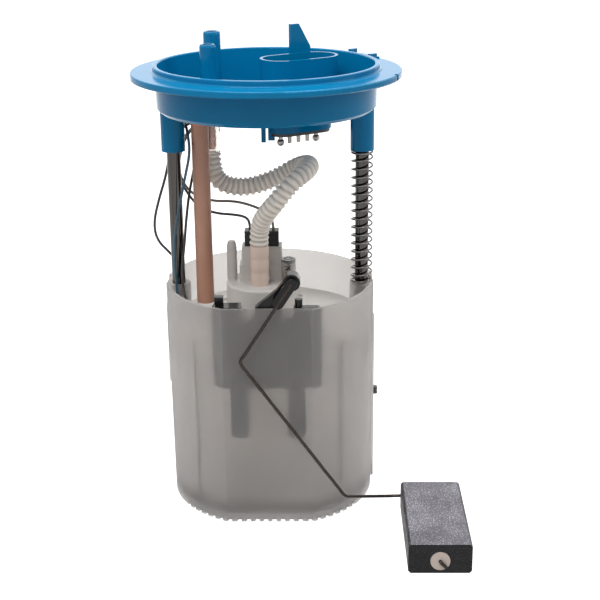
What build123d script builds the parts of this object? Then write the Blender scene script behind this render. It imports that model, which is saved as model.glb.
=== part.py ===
from build123d import *
import os
from math import cos, pi, radians, sin, tan

os.makedirs("parts", exist_ok=True)

# Fits and clearances, all sizes in millimetres
slip = 0.3
running = 0.05
wire_seat = 0.02

# Reservoir: a drafted pot with a flat front, standing on its castellated foot
reservoir_height = 118.0
foot_radius = 54.0
flat_inset = 4.9
foot_flat = foot_radius - flat_inset
draft_angle = 0.34
reservoir_wall = 1.8
foot_recess = 4.0
floor_thickness = 2.0
castle_height = 1.5
castle_width = 2.4
castle_pitch_angle = 5.2
castle_count = 22
deck_rib_width = 1.6
deck_rib_depth = 1.4
rail_width = 3.0
rail_stand = 1.3
rail_face = foot_radius + rail_stand
right_rail_bottom = 3.0
right_rail_top = 98.0
left_rail_bottom = 60.0
left_rail_top = 104.0
side_clip_height = 54.0
side_clip_depth = 1.4
side_clip_length = 4.0
side_clip_bead = 0.7

# Guide rods, sleeves and the main spring
rod_inset = 5.7
rod_x = foot_radius - rod_inset
rod_radius = 3.5
sleeve_wall = 2.6
sleeve_drop = 2.0
sleeve_top = reservoir_height - sleeve_drop
sleeve_length = 36.0
rod_pin_radius = 1.0
rod_pin_length = 10.6
spring_wire = 0.8
spring_radius = 5.2
spring_turns = 16.5

# Flange: ring, raised collar, skirt and a deep well
ring_radius = 68.0
ring_top = 228.3
ring_thickness = 3.3
collar_inset = 11.2
collar_radius = ring_radius - collar_inset
collar_wall = 2.4
collar_height = 3.2
skirt_inset = 12.6
skirt_radius = ring_radius - skirt_inset
skirt_depth = 16.0
skirt_draft = 0.6
skirt_chamfer = 1.6
well_floor = 2.5
ring_round = 0.7
rim_round = 0.6
root_round = 1.1
boss_length = 22.0
rod_socket = 18.0

# Pipe nipples on the flange
nipple_x = -28.1
front_nipple = (-12.0, 4.0, 242.3)
rear_nipple = (15.0, 4.4, 245.2)
nipples = (front_nipple, rear_nipple)
nipple_wall = 1.4
nipple_lead = 1.2

# Connector shroud, its latch fin and the terminal housing below the well
shroud_x = 16.2
shroud_y = 19.8
shroud_angle = 32.0
shroud_length = 20.0
shroud_radius = 11.6
shroud_wall = 1.5
socket_depth = 16.0
fin_height = 15.0
fin_start = 1.5
fin_base = 12.0
fin_top = 5.1
fin_shoulder = 3.0
fin_thickness = 2.0
terminal_radius = 8.0
terminal_bottom = 193.6
insert_thickness = 1.7
insert_margin = 0.8
blade_pitch = 5.4
blade_shift = -0.9
blade_count = 5
blade_width = 2.8
blade_thickness = 0.8
blade_height = 9.0
post_bottom = 187.0
post_radius = 1.1
ball_radius = 2.0
ball_rise = 1.0
terminal_leg_depth = 2.4
leg_row = 12.0
left_leg_x = -2.5
left_leg_width = 2.4
left_leg_end = 188.5
right_leg_x = 1.6
right_leg_width = 3.5
right_leg_end = 189.5
left_leg = ((left_leg_x, leg_row), left_leg_width, left_leg_end)
right_leg = ((right_leg_x, leg_row), right_leg_width, right_leg_end)
terminal_legs = (left_leg, right_leg)

# Locating lugs on the ring, each an angle, a width and a height, and a notch in its edge
stop_lug = (46.8, 2.3, 3.1)
ridge_lug = (40.3, 9.0, 1.0)
key_lug = (33.0, 2.0, 2.1)
step_lug = (30.8, 1.6, 0.8)
ring_lugs = (stop_lug, ridge_lug, key_lug, step_lug)
lug_depth = 4.6
lug_margin = 0.8
notch_angle = -18.0
notch_width = 3.0
notch_depth = 1.6

# Tan fitting, return tube, hose barb and cuffs
tube_x = -34.2
tube_y = -2.0
tube_radius = 4.5
tube_wall = 1.2
tube_bottom = 106.0
tube_seat = 4.0
fitting_margin = 0.3
fitting_bottom = 200.8
fitting_plate = 3.5
fitting_plate_width = 20.0
fitting_plate_length = 37.0
fitting_plate_shift = 3.0
barb_x = -29.9
barb_y = 12.0
barb_radius = 2.4
barb_bore = 1.5
barb_ridge = 0.35
barb_length = 15.5
cuff_radius = 4.9
cuff_overhang = 1.6
hose_radius = 5.0

# Pump group
pump_x = -4.2
pump_y = 0.0
cover_top = 117.0
cover_radius = 18.8
cover_plate = 2.6
can_radius = 17.4
can_wall = 1.0
can_bottom = 34.0
can_top = 100.0
holder_radius = 20.6
holder_wall = 1.5
holder_bottom = 22.0
holder_lip = 3.0
deck_top = 96.0
deck_thickness = 2.0
deck_setback = 13.9
deck_front = foot_flat - deck_setback
holder_holes = 6
holder_hole_radius = 4.0
isolator_height = 6.0
isolator_gap = 0.15
cover_flange_radius = 22.4
cover_flange = 2.0
spigot_x = -20.0
spigot_y = 2.0
spigot_radius = 2.65
spigot_height = 21.0
outlet_x = -5.0
outlet_y = -7.0
outlet_radius = 3.5
outlet_bore = 2.2
outlet_height = 20.0
lower_cuff_radius = 4.7
lower_cuff_bulge = 0.25
lower_cuff_height = 21.3
boss_x = -4.1
boss_front = -1.4
boss_depth = 11.0
lower_tier_width = 23.6
lower_tier_height = 8.4
upper_tier_width = 21.4
upper_tier_height = 10.0
plug_pitch = 12.3
plug_width = 5.6
plug_depth = 7.0
plug_height = 11.2
plug_seat = 3.0
plug_neck = 0.5
plug_cap = 1.6

# Relief valve beside the plug boss
relief_x = 10.0
relief_y = -5.6
relief_radius = 3.8
relief_bore = 2.9
relief_height = 13.6
relief_slot = 2.6
relief_spring_radius = 1.95
relief_wire = 0.5
relief_turns = 5.5
plunger_head = 2.7
plunger_stem = 1.0
plunger_head_height = 2.0
relief_floor = 2.0
relief_cap = 1.5
relief_stem_top = 1.6

# Pump internals
shaft_radius = 1.5
stack_radius = 12.4
stack_bottom = 50.0
stack_height = 34.0
magnet_thickness = 3.0
magnet_angle = 140.0
commutator_radius = 6.0
commutator_height = 7.0
impeller_radius = 15.2
impeller_height = 3.6
impeller_blades = 30
impeller_pocket = (5.0, 1.6)
stack_slots = 8
stack_slot = (6.0, 1.6)
brush_size = 4.0
inlet_plate = 4.0
inlet_plug = 4.0
inlet_radius = 4.0
inlet_length = 9.0
bell_height = 6.0
strainer_width = 40.0
strainer_depth = 26.0
strainer_height = 5.0
strainer_bottom = 8.0
strainer_neck_wall = 1.4
strainer_neck = 6.0
valve_x = 26.0
valve_y = 16.0
valve_radius = 8.0
valve_stem = 1.1
valve_knob = 1.7
valve_clearance = 0.1
valve_port = 1.5
valve_ports = 6

# Level sender behind the flat front
sender_half_width = foot_radius / 2
sender_setback = 10.1
sender_rear = foot_flat - sender_setback
sender_top = reservoir_height
sender_body = 43.0
sender_bottom = sender_top - sender_body
sender_wall = 2.0
leg_x = 14.7
leg_width = 9.0
leg_depth = 3.4
leg_reach = 70.5
leg_bottom = sender_top - leg_reach
hub_x = 12.6
hub_rise = 13.9
hub_z = sender_top + hub_rise
hub_radius = 4.3
hub_stand = 1.2
hub_front = foot_flat + hub_stand
bracket_setback = 6.1
bracket_rear = foot_flat - bracket_setback
bracket_depth = 6.0
bracket_root = sender_top - bracket_depth
bracket_foot_left = -5.8
bracket_foot_right = 7.6
bracket_waist_x = 4.6
bracket_waist_rise = 8.6
bracket_shoulder_rise = 13.4
lobe_left = -12.5
lobe_right = 13.4
peg_x = 15.9
peg_radius = 1.9
peg_height = 4.1
sender_plug_x = -24.0
sender_plug_setback = 9.1
sender_plug_y = sender_plug_setback - foot_flat
sender_plug_width = 4.5
sender_plug_depth = 4.0
sender_plug_height = 3.7
journal_radius = 2.2
journal_length = 9.0
journal_rear = hub_front - journal_length
lever_radius = 2.8
lever_thickness = 2.7
lever_front = hub_front + lever_thickness
lever_length = 12.0
lever_lift = 0.3
card_thickness = 0.8
card_inner = 19.5
card_outer = 24.5
card_start = 220.0
card_sweep = 80.0
wiper_radius = 23.0
wiper_width = 2.4
wiper_thickness = 0.4
wiper_gap = 0.1
wiper_angle = 225.0

# Float arm: round wire, given by its corners from the pivot to the float
arm_wire = 0.85
arm_stand = 2.4
arm_plane = hub_front + arm_stand
knee_x = -13.7
knee_drop = 40.7
arm_knee = (knee_x, hub_z - knee_drop)
elbow_stand = 0.9
arm_elbow = (39.2, hub_front + elbow_stand, 15.8)
arm_crank = (62.0, 33.0, 6.4)
pivot_length = 5.3
arm_pivot_end = hub_front - pivot_length
arm_bends = [1.6, 2.6, 5.0, 6.0, 3.0, 1.3]

# Float and its retainer
float_x = 84.1
float_width = 30.9
float_back = 35.3
float_length = 65.0
float_bottom = 0.5
float_height = 15.5
float_axis = 7.1
float_corner = 1.2
retainer_radius = 4.8
retainer_depth = 1.8
retainer_sink = 1.5
wire_tip = 2.8

# Wire looms
wire_radius = 0.7
wire_lead = 3.5
signal_drop = 4.0
sender_wire_shift = 0.8
sender_wire_rise = 1.9
sender_wire_lead = 3.6

# Heights that follow from the sizes above
slope = tan(radians(draft_angle))
floor_top = foot_recess + floor_thickness
ring_bottom = ring_top - ring_thickness
collar_top = ring_top + collar_height
skirt_bottom = ring_bottom - skirt_depth
well_top = skirt_bottom + well_floor
boss_bottom = skirt_bottom - boss_length
sleeve_radius = rod_radius + sleeve_wall
sleeve_bottom = sleeve_top - sleeve_length
rod_pin_z = sleeve_bottom - slip - rod_pin_radius
rod_bottom = rod_pin_z - 2.5 * rod_pin_radius
boss_top = cover_top + lower_tier_height + upper_tier_height
hub_point = (hub_x, hub_z)
bracket_corners = [
    (bracket_foot_left, bracket_root),
    (bracket_foot_right, bracket_root),
    (bracket_foot_right, sender_top),
    (peg_x, sender_top + bracket_shoulder_rise),
    (hub_x, hub_z + hub_radius),
    (bracket_waist_x, sender_top + bracket_waist_rise),
    (bracket_foot_left, sender_top),
]
first_blade = blade_shift - blade_pitch * (blade_count - 1) / 2
blade_steps = [first_blade + blade_pitch * place for place in range(blade_count)]


def reservoir_outline(inset, height):
    """Flat fronted round outline of the reservoir at a height, moved in by inset."""
    radius = foot_radius + slope * height - inset
    flat = foot_flat + slope * height - inset
    with BuildSketch(Plane.XY.offset(height)) as outline:
        Circle(radius)
        with Locations((0, -flat - radius)):
            Rectangle(4 * radius, 2 * radius, mode=Mode.SUBTRACT)
    return outline.sketch


def slot_outline(radius, height):
    """Outline shared by the connector shroud and everything that lines up with it."""
    with BuildSketch(Plane.XY.offset(height)) as outline:
        with Locations((shroud_x, shroud_y)):
            SlotCenterToCenter(shroud_length, 2 * radius, rotation=shroud_angle)
    return outline.sketch


def along_shroud(distance, aside=0.0):
    """Point on the long axis of the shroud, moved sideways by aside."""
    turn = radians(shroud_angle)
    return (
        shroud_x + distance * cos(turn) - aside * sin(turn),
        shroud_y + distance * sin(turn) + aside * cos(turn),
    )


def corner_radii(points):
    """Largest even arc for every inner corner of a route."""
    radii = []
    for before, here, after in zip(points, points[1:], points[2:]):
        run_in = Vector(*here) - Vector(*before)
        run_out = Vector(*after) - Vector(*here)
        turn = radians(run_in.get_angle(run_out))
        radii.append(0.45 * min(run_in.length, run_out.length) / tan(turn / 2))
    return radii


def round_tube(points, radii, radius, label):
    """Solid round section carried along straight runs joined by tangent arcs."""
    with BuildPart() as tube:
        with BuildLine() as route:
            FilletPolyline(*points, radius=radii)
        line = route.line
        start = Plane(origin=line @ 0, z_dir=line % 0)
        with BuildSketch(start):
            Circle(radius)
        sweep(path=line)
    tube.part.label = label
    length = sum(edge.length for edge in line.edges())
    share = tube.part.volume / (pi * radius**2 * length)
    print(label, "length", round(length, 1), "volume share", round(share, 3))
    print("arc radii", [round(arc, 1) for arc in radii])
    return tube.part


def helix_spring(radius, wire, turns, bottom, top, centre, label):
    """Round wire coil between two end faces."""
    rise = top - bottom - wire
    with BuildPart() as coil:
        with BuildLine() as route:
            Helix(rise / turns, rise, radius, center=(centre[0], centre[1], bottom + wire / 2))
        line = route.line
        with BuildSketch(Plane(origin=line @ 0, z_dir=line % 0)):
            RegularPolygon(wire / 2, 8)
        sweep(path=line, is_frenet=True)
    coil.part.label = label
    return coil.part


# Reservoir with guide sleeves, deck ribs, outside rails and castellated foot
with BuildPart() as reservoir:
    extrude(reservoir_outline(0, 0), amount=reservoir_height, taper=-draft_angle)
    pot_depth = reservoir_height - floor_top
    extrude(
        reservoir_outline(reservoir_wall, floor_top),
        amount=pot_depth,
        taper=-draft_angle,
        mode=Mode.SUBTRACT,
    )
    extrude(reservoir_outline(reservoir_wall, 0), amount=foot_recess, mode=Mode.SUBTRACT)
    with BuildSketch(Plane.XY.offset(sleeve_bottom)):
        with Locations((rod_x, 0), (-rod_x, 0)):
            Circle(sleeve_radius)
    extrude(amount=sleeve_length)
    inner_radius = foot_radius - reservoir_wall + slope * floor_top
    with BuildSketch(Plane.XY.offset(floor_top)):
        with PolarLocations(inner_radius, 4, start_angle=45):
            Rectangle(2 * deck_rib_depth, deck_rib_width)
    extrude(amount=deck_top - deck_thickness - floor_top)
    for side, low, high in ((1, right_rail_bottom, right_rail_top), (-1, left_rail_bottom, left_rail_top)):
        rail_depth = rail_face - inner_radius
        with BuildSketch(Plane.XY.offset(low)):
            with Locations((side * (inner_radius + rail_depth / 2), 0)):
                Rectangle(rail_depth, rail_width)
        extrude(amount=high - low)
    with BuildSketch(Plane.XY.offset(sleeve_bottom)):
        with Locations((rod_x, 0), (-rod_x, 0)):
            Circle(rod_radius + running)
    extrude(amount=sleeve_length, mode=Mode.SUBTRACT)
    with BuildSketch(Plane.XY.offset(sleeve_top)):
        with Locations((rod_x, 0), (-rod_x, 0)):
            Rectangle(4 * sleeve_radius, 2 * sleeve_radius)
    extrude(amount=reservoir_height - sleeve_top, mode=Mode.SUBTRACT)
    castle_arc = castle_pitch_angle * (castle_count - 1)
    castle_reach = foot_radius - foot_flat + 2 * reservoir_wall + 2
    castle_middle = foot_radius + 1 - castle_reach / 2
    with BuildSketch(Plane.XY):
        for facing in (-90, 90):
            first = facing - castle_arc / 2
            with PolarLocations(castle_middle, castle_count, first, castle_arc, endpoint=True):
                Rectangle(castle_reach, castle_width)
    extrude(amount=castle_height, mode=Mode.SUBTRACT)
    with BuildSketch(Plane.XY.offset(foot_recess)):
        with Locations((valve_x, valve_y)):
            Circle(valve_stem + valve_clearance)
            with PolarLocations(valve_radius * 0.55, valve_ports):
                Circle(valve_port)
    extrude(amount=floor_thickness, mode=Mode.SUBTRACT)
reservoir.part.label = "reservoir"
export_step(reservoir.part, "parts/reservoir.step")

# Small snap clip on the right hand rail
with BuildPart() as side_clip:
    with BuildSketch(Plane.XZ.offset(-rail_width / 2)):
        with Locations((rail_face + side_clip_depth / 2, side_clip_height)):
            Rectangle(side_clip_depth, side_clip_length)
        with Locations((rail_face + side_clip_depth, side_clip_height + 0.3 * side_clip_length)):
            Circle(side_clip_bead)
        with Locations((rail_face + side_clip_depth, side_clip_height - 0.3 * side_clip_length)):
            Circle(side_clip_bead)
    extrude(amount=rail_width)
side_clip.part.label = "side_clip"
export_step(side_clip.part, "parts/side_clip.step")

# Umbrella valve in the reservoir floor
with BuildPart() as foot_valve:
    with BuildSketch(Plane.XZ):
        with BuildLine():
            Polyline(
                (0, foot_recess - 1.6),
                (valve_knob, foot_recess - 0.9),
                (valve_knob, foot_recess),
                (valve_stem, foot_recess),
                (valve_stem, floor_top),
                (valve_radius, floor_top),
                (valve_radius * 0.7, floor_top + 1.2),
                (0, floor_top + 1.8),
                close=True,
            )
        make_face()
    revolve(axis=Axis.Z)
foot_valve.part = foot_valve.part.moved(Location((valve_x, valve_y, 0)))
foot_valve.part.label = "foot_valve"
export_step(foot_valve.part, "parts/foot_valve.step")

# Flange moulding: ring, collar, skirt, well, rod bosses, shroud, nipples and fin
with BuildPart() as flange:
    with BuildSketch(Plane.XZ):
        with BuildLine():
            Polyline(
                (0, skirt_bottom),
                (skirt_radius - skirt_chamfer, skirt_bottom),
                (skirt_radius, skirt_bottom + skirt_chamfer),
                (skirt_radius + skirt_draft, ring_bottom),
                (ring_radius, ring_bottom),
                (ring_radius, ring_top),
                (collar_radius, ring_top),
                (collar_radius, collar_top),
                (collar_radius - collar_wall, collar_top),
                (skirt_radius - collar_wall, well_top),
                (0, well_top),
                close=True,
            )
        make_face()
    revolve(axis=Axis.Z)
    circles = flange.edges().filter_by(GeomType.CIRCLE)
    fillet(circles.filter_by(lambda edge: edge.radius > ring_radius - 0.1), ring_round)
    circles = flange.edges().filter_by(GeomType.CIRCLE)
    fillet(circles.group_by(Axis.Z)[-1], rim_round)
    circles = flange.edges().filter_by(GeomType.CIRCLE)
    well_edge = circles.filter_by(lambda edge: abs(edge.arc_center.Z - well_top) < 0.1)
    fillet(well_edge, root_round)
    circles = flange.edges().filter_by(GeomType.CIRCLE)
    collar_root = circles.filter_by(lambda edge: abs(edge.radius - collar_radius) < 0.1)
    fillet(collar_root.group_by(Axis.Z)[0], root_round)
    with BuildSketch(Plane.XY.offset(boss_bottom)):
        with Locations((rod_x, 0), (-rod_x, 0)):
            Circle(sleeve_radius)
    extrude(amount=skirt_bottom - boss_bottom + well_floor / 2)
    extrude(slot_outline(shroud_radius, skirt_bottom + 1), amount=collar_top - skirt_bottom - 1)
    socket_floor = collar_top - socket_depth
    extrude(
        slot_outline(shroud_radius - shroud_wall, socket_floor),
        amount=socket_depth,
        mode=Mode.SUBTRACT,
    )
    extrude(slot_outline(terminal_radius, terminal_bottom), amount=well_top - terminal_bottom)
    for leg_centre, leg_size, leg_end in terminal_legs:
        with BuildSketch(Plane.XY.offset(leg_end)):
            with Locations(leg_centre):
                Rectangle(leg_size, terminal_leg_depth)
        extrude(amount=skirt_bottom + 1 - leg_end)
    for nipple_y, nipple_radius, nipple_top in nipples:
        nipple_axis = Axis((nipple_x, nipple_y, 0), (0, 0, 1))
        side_view = Plane(origin=(nipple_x, nipple_y, 0), x_dir=(1, 0, 0), z_dir=(0, -1, 0))
        with BuildSketch(side_view):
            with BuildLine():
                Polyline(
                    (0, skirt_bottom + 1),
                    (nipple_radius + root_round, skirt_bottom + 1),
                    (nipple_radius + root_round, well_top),
                    (nipple_radius, well_top + 2 * root_round),
                    (nipple_radius, nipple_top - nipple_lead),
                    (nipple_radius - nipple_lead / 3, nipple_top),
                    (0, nipple_top),
                    close=True,
                )
            make_face()
        revolve(axis=nipple_axis)
        with BuildSketch(Plane.XY.offset(skirt_bottom)):
            with Locations((nipple_x, nipple_y)):
                Circle(nipple_radius - nipple_wall)
        extrude(amount=nipple_top - skirt_bottom, mode=Mode.SUBTRACT)
    fin_corner = along_shroud(0, shroud_radius - shroud_wall / 2)
    fin_direction = Vector(cos(radians(shroud_angle)), sin(radians(shroud_angle)), 0)
    fin_plane = Plane(
        origin=(fin_corner[0], fin_corner[1], 0),
        x_dir=fin_direction,
        z_dir=fin_direction.cross(Vector(0, 0, 1)),
    )
    with BuildSketch(fin_plane):
        with BuildLine():
            Polyline(
                (fin_start, well_top - 1),
                (fin_start, collar_top + fin_height),
                (fin_start + fin_top, collar_top + fin_height),
                (fin_start + fin_base, collar_top + fin_shoulder),
                (fin_start + fin_base, well_top - 1),
                close=True,
            )
        make_face()
    extrude(amount=-fin_thickness)
    for lug_angle, lug_width, lug_height in ring_lugs:
        with BuildSketch(Plane.XY.offset(ring_top - 0.5)):
            with PolarLocations(ring_radius - lug_margin - lug_depth / 2, 1, lug_angle):
                Rectangle(lug_depth, lug_width)
        extrude(amount=lug_height + 0.5)
    with BuildSketch(Plane.XY.offset(ring_bottom)):
        with PolarLocations(ring_radius, 1, notch_angle):
            Rectangle(2 * notch_depth, notch_width)
    extrude(amount=ring_thickness, mode=Mode.SUBTRACT)
    with BuildSketch(Plane.XY.offset(boss_bottom)):
        with Locations((rod_x, 0), (-rod_x, 0)):
            Circle(rod_radius)
    extrude(amount=rod_socket, mode=Mode.SUBTRACT)
    for blade_step in blade_steps:
        with BuildSketch(Plane.XY.offset(terminal_bottom)):
            with Locations(along_shroud(blade_step)):
                Rectangle(blade_width, blade_thickness, rotation=shroud_angle)
        extrude(amount=socket_floor - terminal_bottom, mode=Mode.SUBTRACT)
flange.part.label = "flange"
export_step(flange.part, "parts/flange.step")

# Sealing insert under the terminal housing
insert_bottom = terminal_bottom - insert_thickness
with BuildPart() as terminal_insert:
    extrude(slot_outline(terminal_radius - insert_margin, insert_bottom), amount=insert_thickness)
    for blade_step in blade_steps:
        with BuildSketch(Plane.XY.offset(insert_bottom)):
            with Locations(along_shroud(blade_step)):
                Rectangle(blade_width, blade_thickness, rotation=shroud_angle)
        extrude(amount=insert_thickness, mode=Mode.SUBTRACT)
    for leg_centre, leg_size, leg_end in terminal_legs:
        with BuildSketch(Plane.XY.offset(insert_bottom)):
            with Locations(leg_centre):
                Rectangle(leg_size + 2 * slip, terminal_leg_depth + 2 * slip)
        extrude(amount=insert_thickness, mode=Mode.SUBTRACT)
terminal_insert.part.label = "terminal_insert"
export_step(terminal_insert.part, "parts/terminal_insert.step")

# Terminals: a flat blade above, a round crimp post below, balls on the outer two
for number, blade_step in enumerate(blade_steps, start=1):
    with BuildPart() as terminal:
        with BuildSketch(Plane.XY.offset(insert_bottom)):
            with Locations(along_shroud(blade_step)):
                Rectangle(blade_width, blade_thickness, rotation=shroud_angle)
        extrude(amount=socket_floor + blade_height - insert_bottom)
        tip = terminal.faces().sort_by(Axis.Z)[-1]
        chamfer(tip.edges().filter_by(lambda edge: edge.length < blade_width / 2), 0.3)
        with BuildSketch(Plane.XY.offset(post_bottom)):
            with Locations(along_shroud(blade_step)):
                Circle(post_radius)
        extrude(amount=insert_bottom - post_bottom)
        if number in (1, blade_count):
            ball_x, ball_y = along_shroud(blade_step)
            with Locations((ball_x, ball_y, post_bottom + ball_rise)):
                Sphere(ball_radius)
    terminal.part.label = f"terminal_{number}"
    export_step(terminal.part, f"parts/terminal_{number}.step")

# Steel guide rods and the cross pins that keep them under the sleeves
rod_top = boss_bottom + rod_socket
for side, side_name in ((-1, "left"), (1, "right")):
    with BuildPart() as guide_rod:
        with BuildSketch(Plane.XY.offset(rod_bottom)):
            with Locations((side * rod_x, 0)):
                Circle(rod_radius)
        extrude(amount=rod_top - rod_bottom)
        chamfer(guide_rod.edges().filter_by(GeomType.CIRCLE), 0.5)
        with BuildSketch(Plane.XZ):
            with Locations((side * rod_x, rod_pin_z)):
                Circle(rod_pin_radius)
        extrude(amount=2 * rod_radius, both=True, mode=Mode.SUBTRACT)
    guide_rod.part.label = f"guide_rod_{side_name}"
    export_step(guide_rod.part, f"parts/guide_rod_{side_name}.step")
    with BuildPart() as rod_pin:
        with BuildSketch(Plane.XZ):
            with Locations((side * rod_x, rod_pin_z)):
                Circle(rod_pin_radius)
        extrude(amount=rod_pin_length / 2, both=True)
        chamfer(rod_pin.edges().filter_by(GeomType.CIRCLE), 0.2)
    rod_pin.part.label = f"rod_pin_{side_name}"
    export_step(rod_pin.part, f"parts/rod_pin_{side_name}.step")

# Main spring on the right hand rod
main_spring = helix_spring(
    spring_radius, spring_wire, spring_turns, sleeve_top, boss_bottom, (rod_x, 0), "main_spring"
)
export_step(main_spring, "parts/main_spring.step")

# Pipe fitting under the nipples, with the socket of the return tube and the hose barb
barb_end = fitting_bottom - barb_length
fitting_run = Vector(barb_x - tube_x, barb_y - tube_y, 0)
with BuildPart() as pipe_fitting:
    with BuildSketch(Plane.XY.offset(skirt_bottom - fitting_plate)):
        with Locations((nipple_x - fitting_plate_shift, (nipples[0][0] + nipples[1][0]) / 2)):
            RectangleRounded(fitting_plate_width, fitting_plate_length, 4)
    extrude(amount=fitting_plate)
    with BuildSketch(Plane.XY.offset(fitting_bottom)):
        with Locations(((barb_x + tube_x) / 2, (barb_y + tube_y) / 2)):
            SlotCenterToCenter(
                fitting_run.length,
                2 * (tube_radius + fitting_margin),
                rotation=Vector(1, 0, 0).get_signed_angle(fitting_run, Vector(0, 0, 1)),
            )
    extrude(amount=skirt_bottom - fitting_bottom)
    with BuildSketch(Plane.XY.offset(fitting_bottom)):
        with Locations((tube_x, tube_y)):
            Circle(tube_radius)
    extrude(amount=tube_seat, mode=Mode.SUBTRACT)
    with BuildSketch(Plane(origin=(barb_x, barb_y, 0), x_dir=(1, 0, 0), z_dir=(0, -1, 0))):
        with BuildLine():
            ridge_step = barb_length / 5
            Polyline(
                (barb_bore, fitting_bottom + 1),
                (barb_radius, fitting_bottom + 1),
                (barb_radius, barb_end + 3 * ridge_step),
                (barb_radius + barb_ridge, barb_end + 3 * ridge_step),
                (barb_radius, barb_end + 2 * ridge_step),
                (barb_radius + barb_ridge, barb_end + 2 * ridge_step),
                (barb_radius, barb_end + ridge_step),
                (barb_radius + barb_ridge, barb_end + ridge_step),
                (barb_radius - barb_ridge, barb_end),
                (barb_bore, barb_end),
                close=True,
            )
        make_face()
    revolve(axis=Axis((barb_x, barb_y, 0), (0, 0, 1)))
    with BuildSketch(Plane.XY.offset(fitting_bottom)):
        with Locations((barb_x, barb_y)):
            Circle(barb_bore)
    extrude(amount=tube_seat, mode=Mode.SUBTRACT)
pipe_fitting.part.label = "pipe_fitting"
export_step(pipe_fitting.part, "parts/pipe_fitting.step")

# Return tube
with BuildPart() as return_tube:
    with BuildSketch(Plane.XY.offset(tube_bottom)):
        with Locations((tube_x, tube_y)):
            Circle(tube_radius)
            Circle(tube_radius - tube_wall, mode=Mode.SUBTRACT)
    extrude(amount=fitting_bottom + tube_seat - tube_bottom)
return_tube.part.label = "return_tube"
export_step(return_tube.part, "parts/return_tube.step")

# Clear cuff over the upper barb
upper_cuff_bottom = barb_end - cuff_overhang
with BuildPart() as hose_cuff_top:
    with BuildSketch(Plane.XY.offset(upper_cuff_bottom)):
        with Locations((barb_x, barb_y)):
            Circle(cuff_radius)
            Circle(barb_radius + barb_ridge + running, mode=Mode.SUBTRACT)
    extrude(amount=fitting_bottom - upper_cuff_bottom)
    cuff_rims = hose_cuff_top.edges().filter_by(GeomType.CIRCLE)
    outer_rims = cuff_rims.filter_by(lambda edge: edge.radius > cuff_radius - 0.1)
    fillet(outer_rims.group_by(Axis.Z)[-1], 0.6)
hose_cuff_top.part.label = "hose_cuff_top"
export_step(hose_cuff_top.part, "parts/hose_cuff_top.step")

# Corrugated hose from the upper barb round to the pump outlet
lower_cuff_top = cover_top + lower_cuff_height
hose_points = [
    (barb_x, barb_y, upper_cuff_bottom),
    (barb_x, barb_y, 173.5),
    (-25.0, 12.7, 166.0),
    (-12.5, 13.8, 163.6),
    (3.0, 15.0, 168.2),
    (14.0, 13.5, 175.0),
    (22.5, 6.0, 179.0),
    (23.5, -8.0, 180.5),
    (12.5, -17.2, 176.0),
    (2.5, -18.3, 164.2),
    (-4.0, -13.0, 155.5),
    (outlet_x, outlet_y, 147.5),
    (outlet_x, outlet_y, lower_cuff_top),
]
hose = round_tube(hose_points, corner_radii(hose_points), hose_radius, "corrugated_hose")
export_step(hose, "parts/corrugated_hose.step")

# Clamped cuff with three bulges on the pump outlet
with BuildPart() as hose_cuff_bottom:
    bulge = lower_cuff_height / 6
    with BuildSketch(Plane(origin=(outlet_x, outlet_y, 0), x_dir=(1, 0, 0), z_dir=(0, -1, 0))):
        with BuildLine():
            Polyline(
                (lower_cuff_radius, lower_cuff_top),
                (outlet_radius + wire_seat, lower_cuff_top),
                (outlet_radius + wire_seat, cover_top),
                (lower_cuff_radius, cover_top),
            )
            for place in range(3):
                low = cover_top + 2 * bulge * place
                ThreePointArc(
                    (lower_cuff_radius, low),
                    (lower_cuff_radius + lower_cuff_bulge, low + bulge),
                    (lower_cuff_radius, low + 2 * bulge),
                )
        make_face()
    revolve(axis=Axis((outlet_x, outlet_y, 0), (0, 0, 1)))
hose_cuff_bottom.part.label = "hose_cuff_bottom"
export_step(hose_cuff_bottom.part, "parts/hose_cuff_bottom.step")

# Pump holder: a deck on the reservoir ribs with a tube that carries the pump
deck_bottom = deck_top - deck_thickness
holder_bore = holder_radius - holder_wall
with BuildPart() as pump_holder:
    extrude(reservoir_outline(reservoir_wall + slip, deck_bottom), amount=deck_thickness)
    with BuildSketch(Plane.XY.offset(deck_bottom)):
        with Locations((0, -deck_front - foot_radius)):
            Rectangle(4 * foot_radius, 2 * foot_radius)
        with Locations((rod_x, 0), (-rod_x, 0)):
            Circle(sleeve_radius + slip)
        with Locations((rod_x + sleeve_radius, 0), (-rod_x - sleeve_radius, 0)):
            Rectangle(2 * sleeve_radius, 2 * (sleeve_radius + slip))
        with Locations((tube_x, tube_y)):
            Circle(tube_radius + 2 * slip)
        with PolarLocations((holder_radius + foot_radius) / 2, holder_holes, 60 / holder_holes):
            Circle(holder_hole_radius)
    extrude(amount=deck_thickness, mode=Mode.SUBTRACT)
    with BuildSketch(Plane.XY.offset(holder_bottom)):
        with Locations((pump_x, pump_y)):
            Circle(holder_radius)
    extrude(amount=deck_bottom - holder_bottom)
    with BuildSketch(Plane.XY.offset(holder_bottom)):
        with Locations((pump_x, pump_y)):
            Circle(holder_bore - holder_lip)
    extrude(amount=holder_lip, mode=Mode.SUBTRACT)
    with BuildSketch(Plane.XY.offset(holder_bottom + deck_thickness)):
        with Locations((pump_x, pump_y)):
            Circle(holder_bore)
    extrude(amount=deck_top - holder_bottom, mode=Mode.SUBTRACT)
pump_holder.part.label = "pump_holder"
export_step(pump_holder.part, "parts/pump_holder.step")

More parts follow.
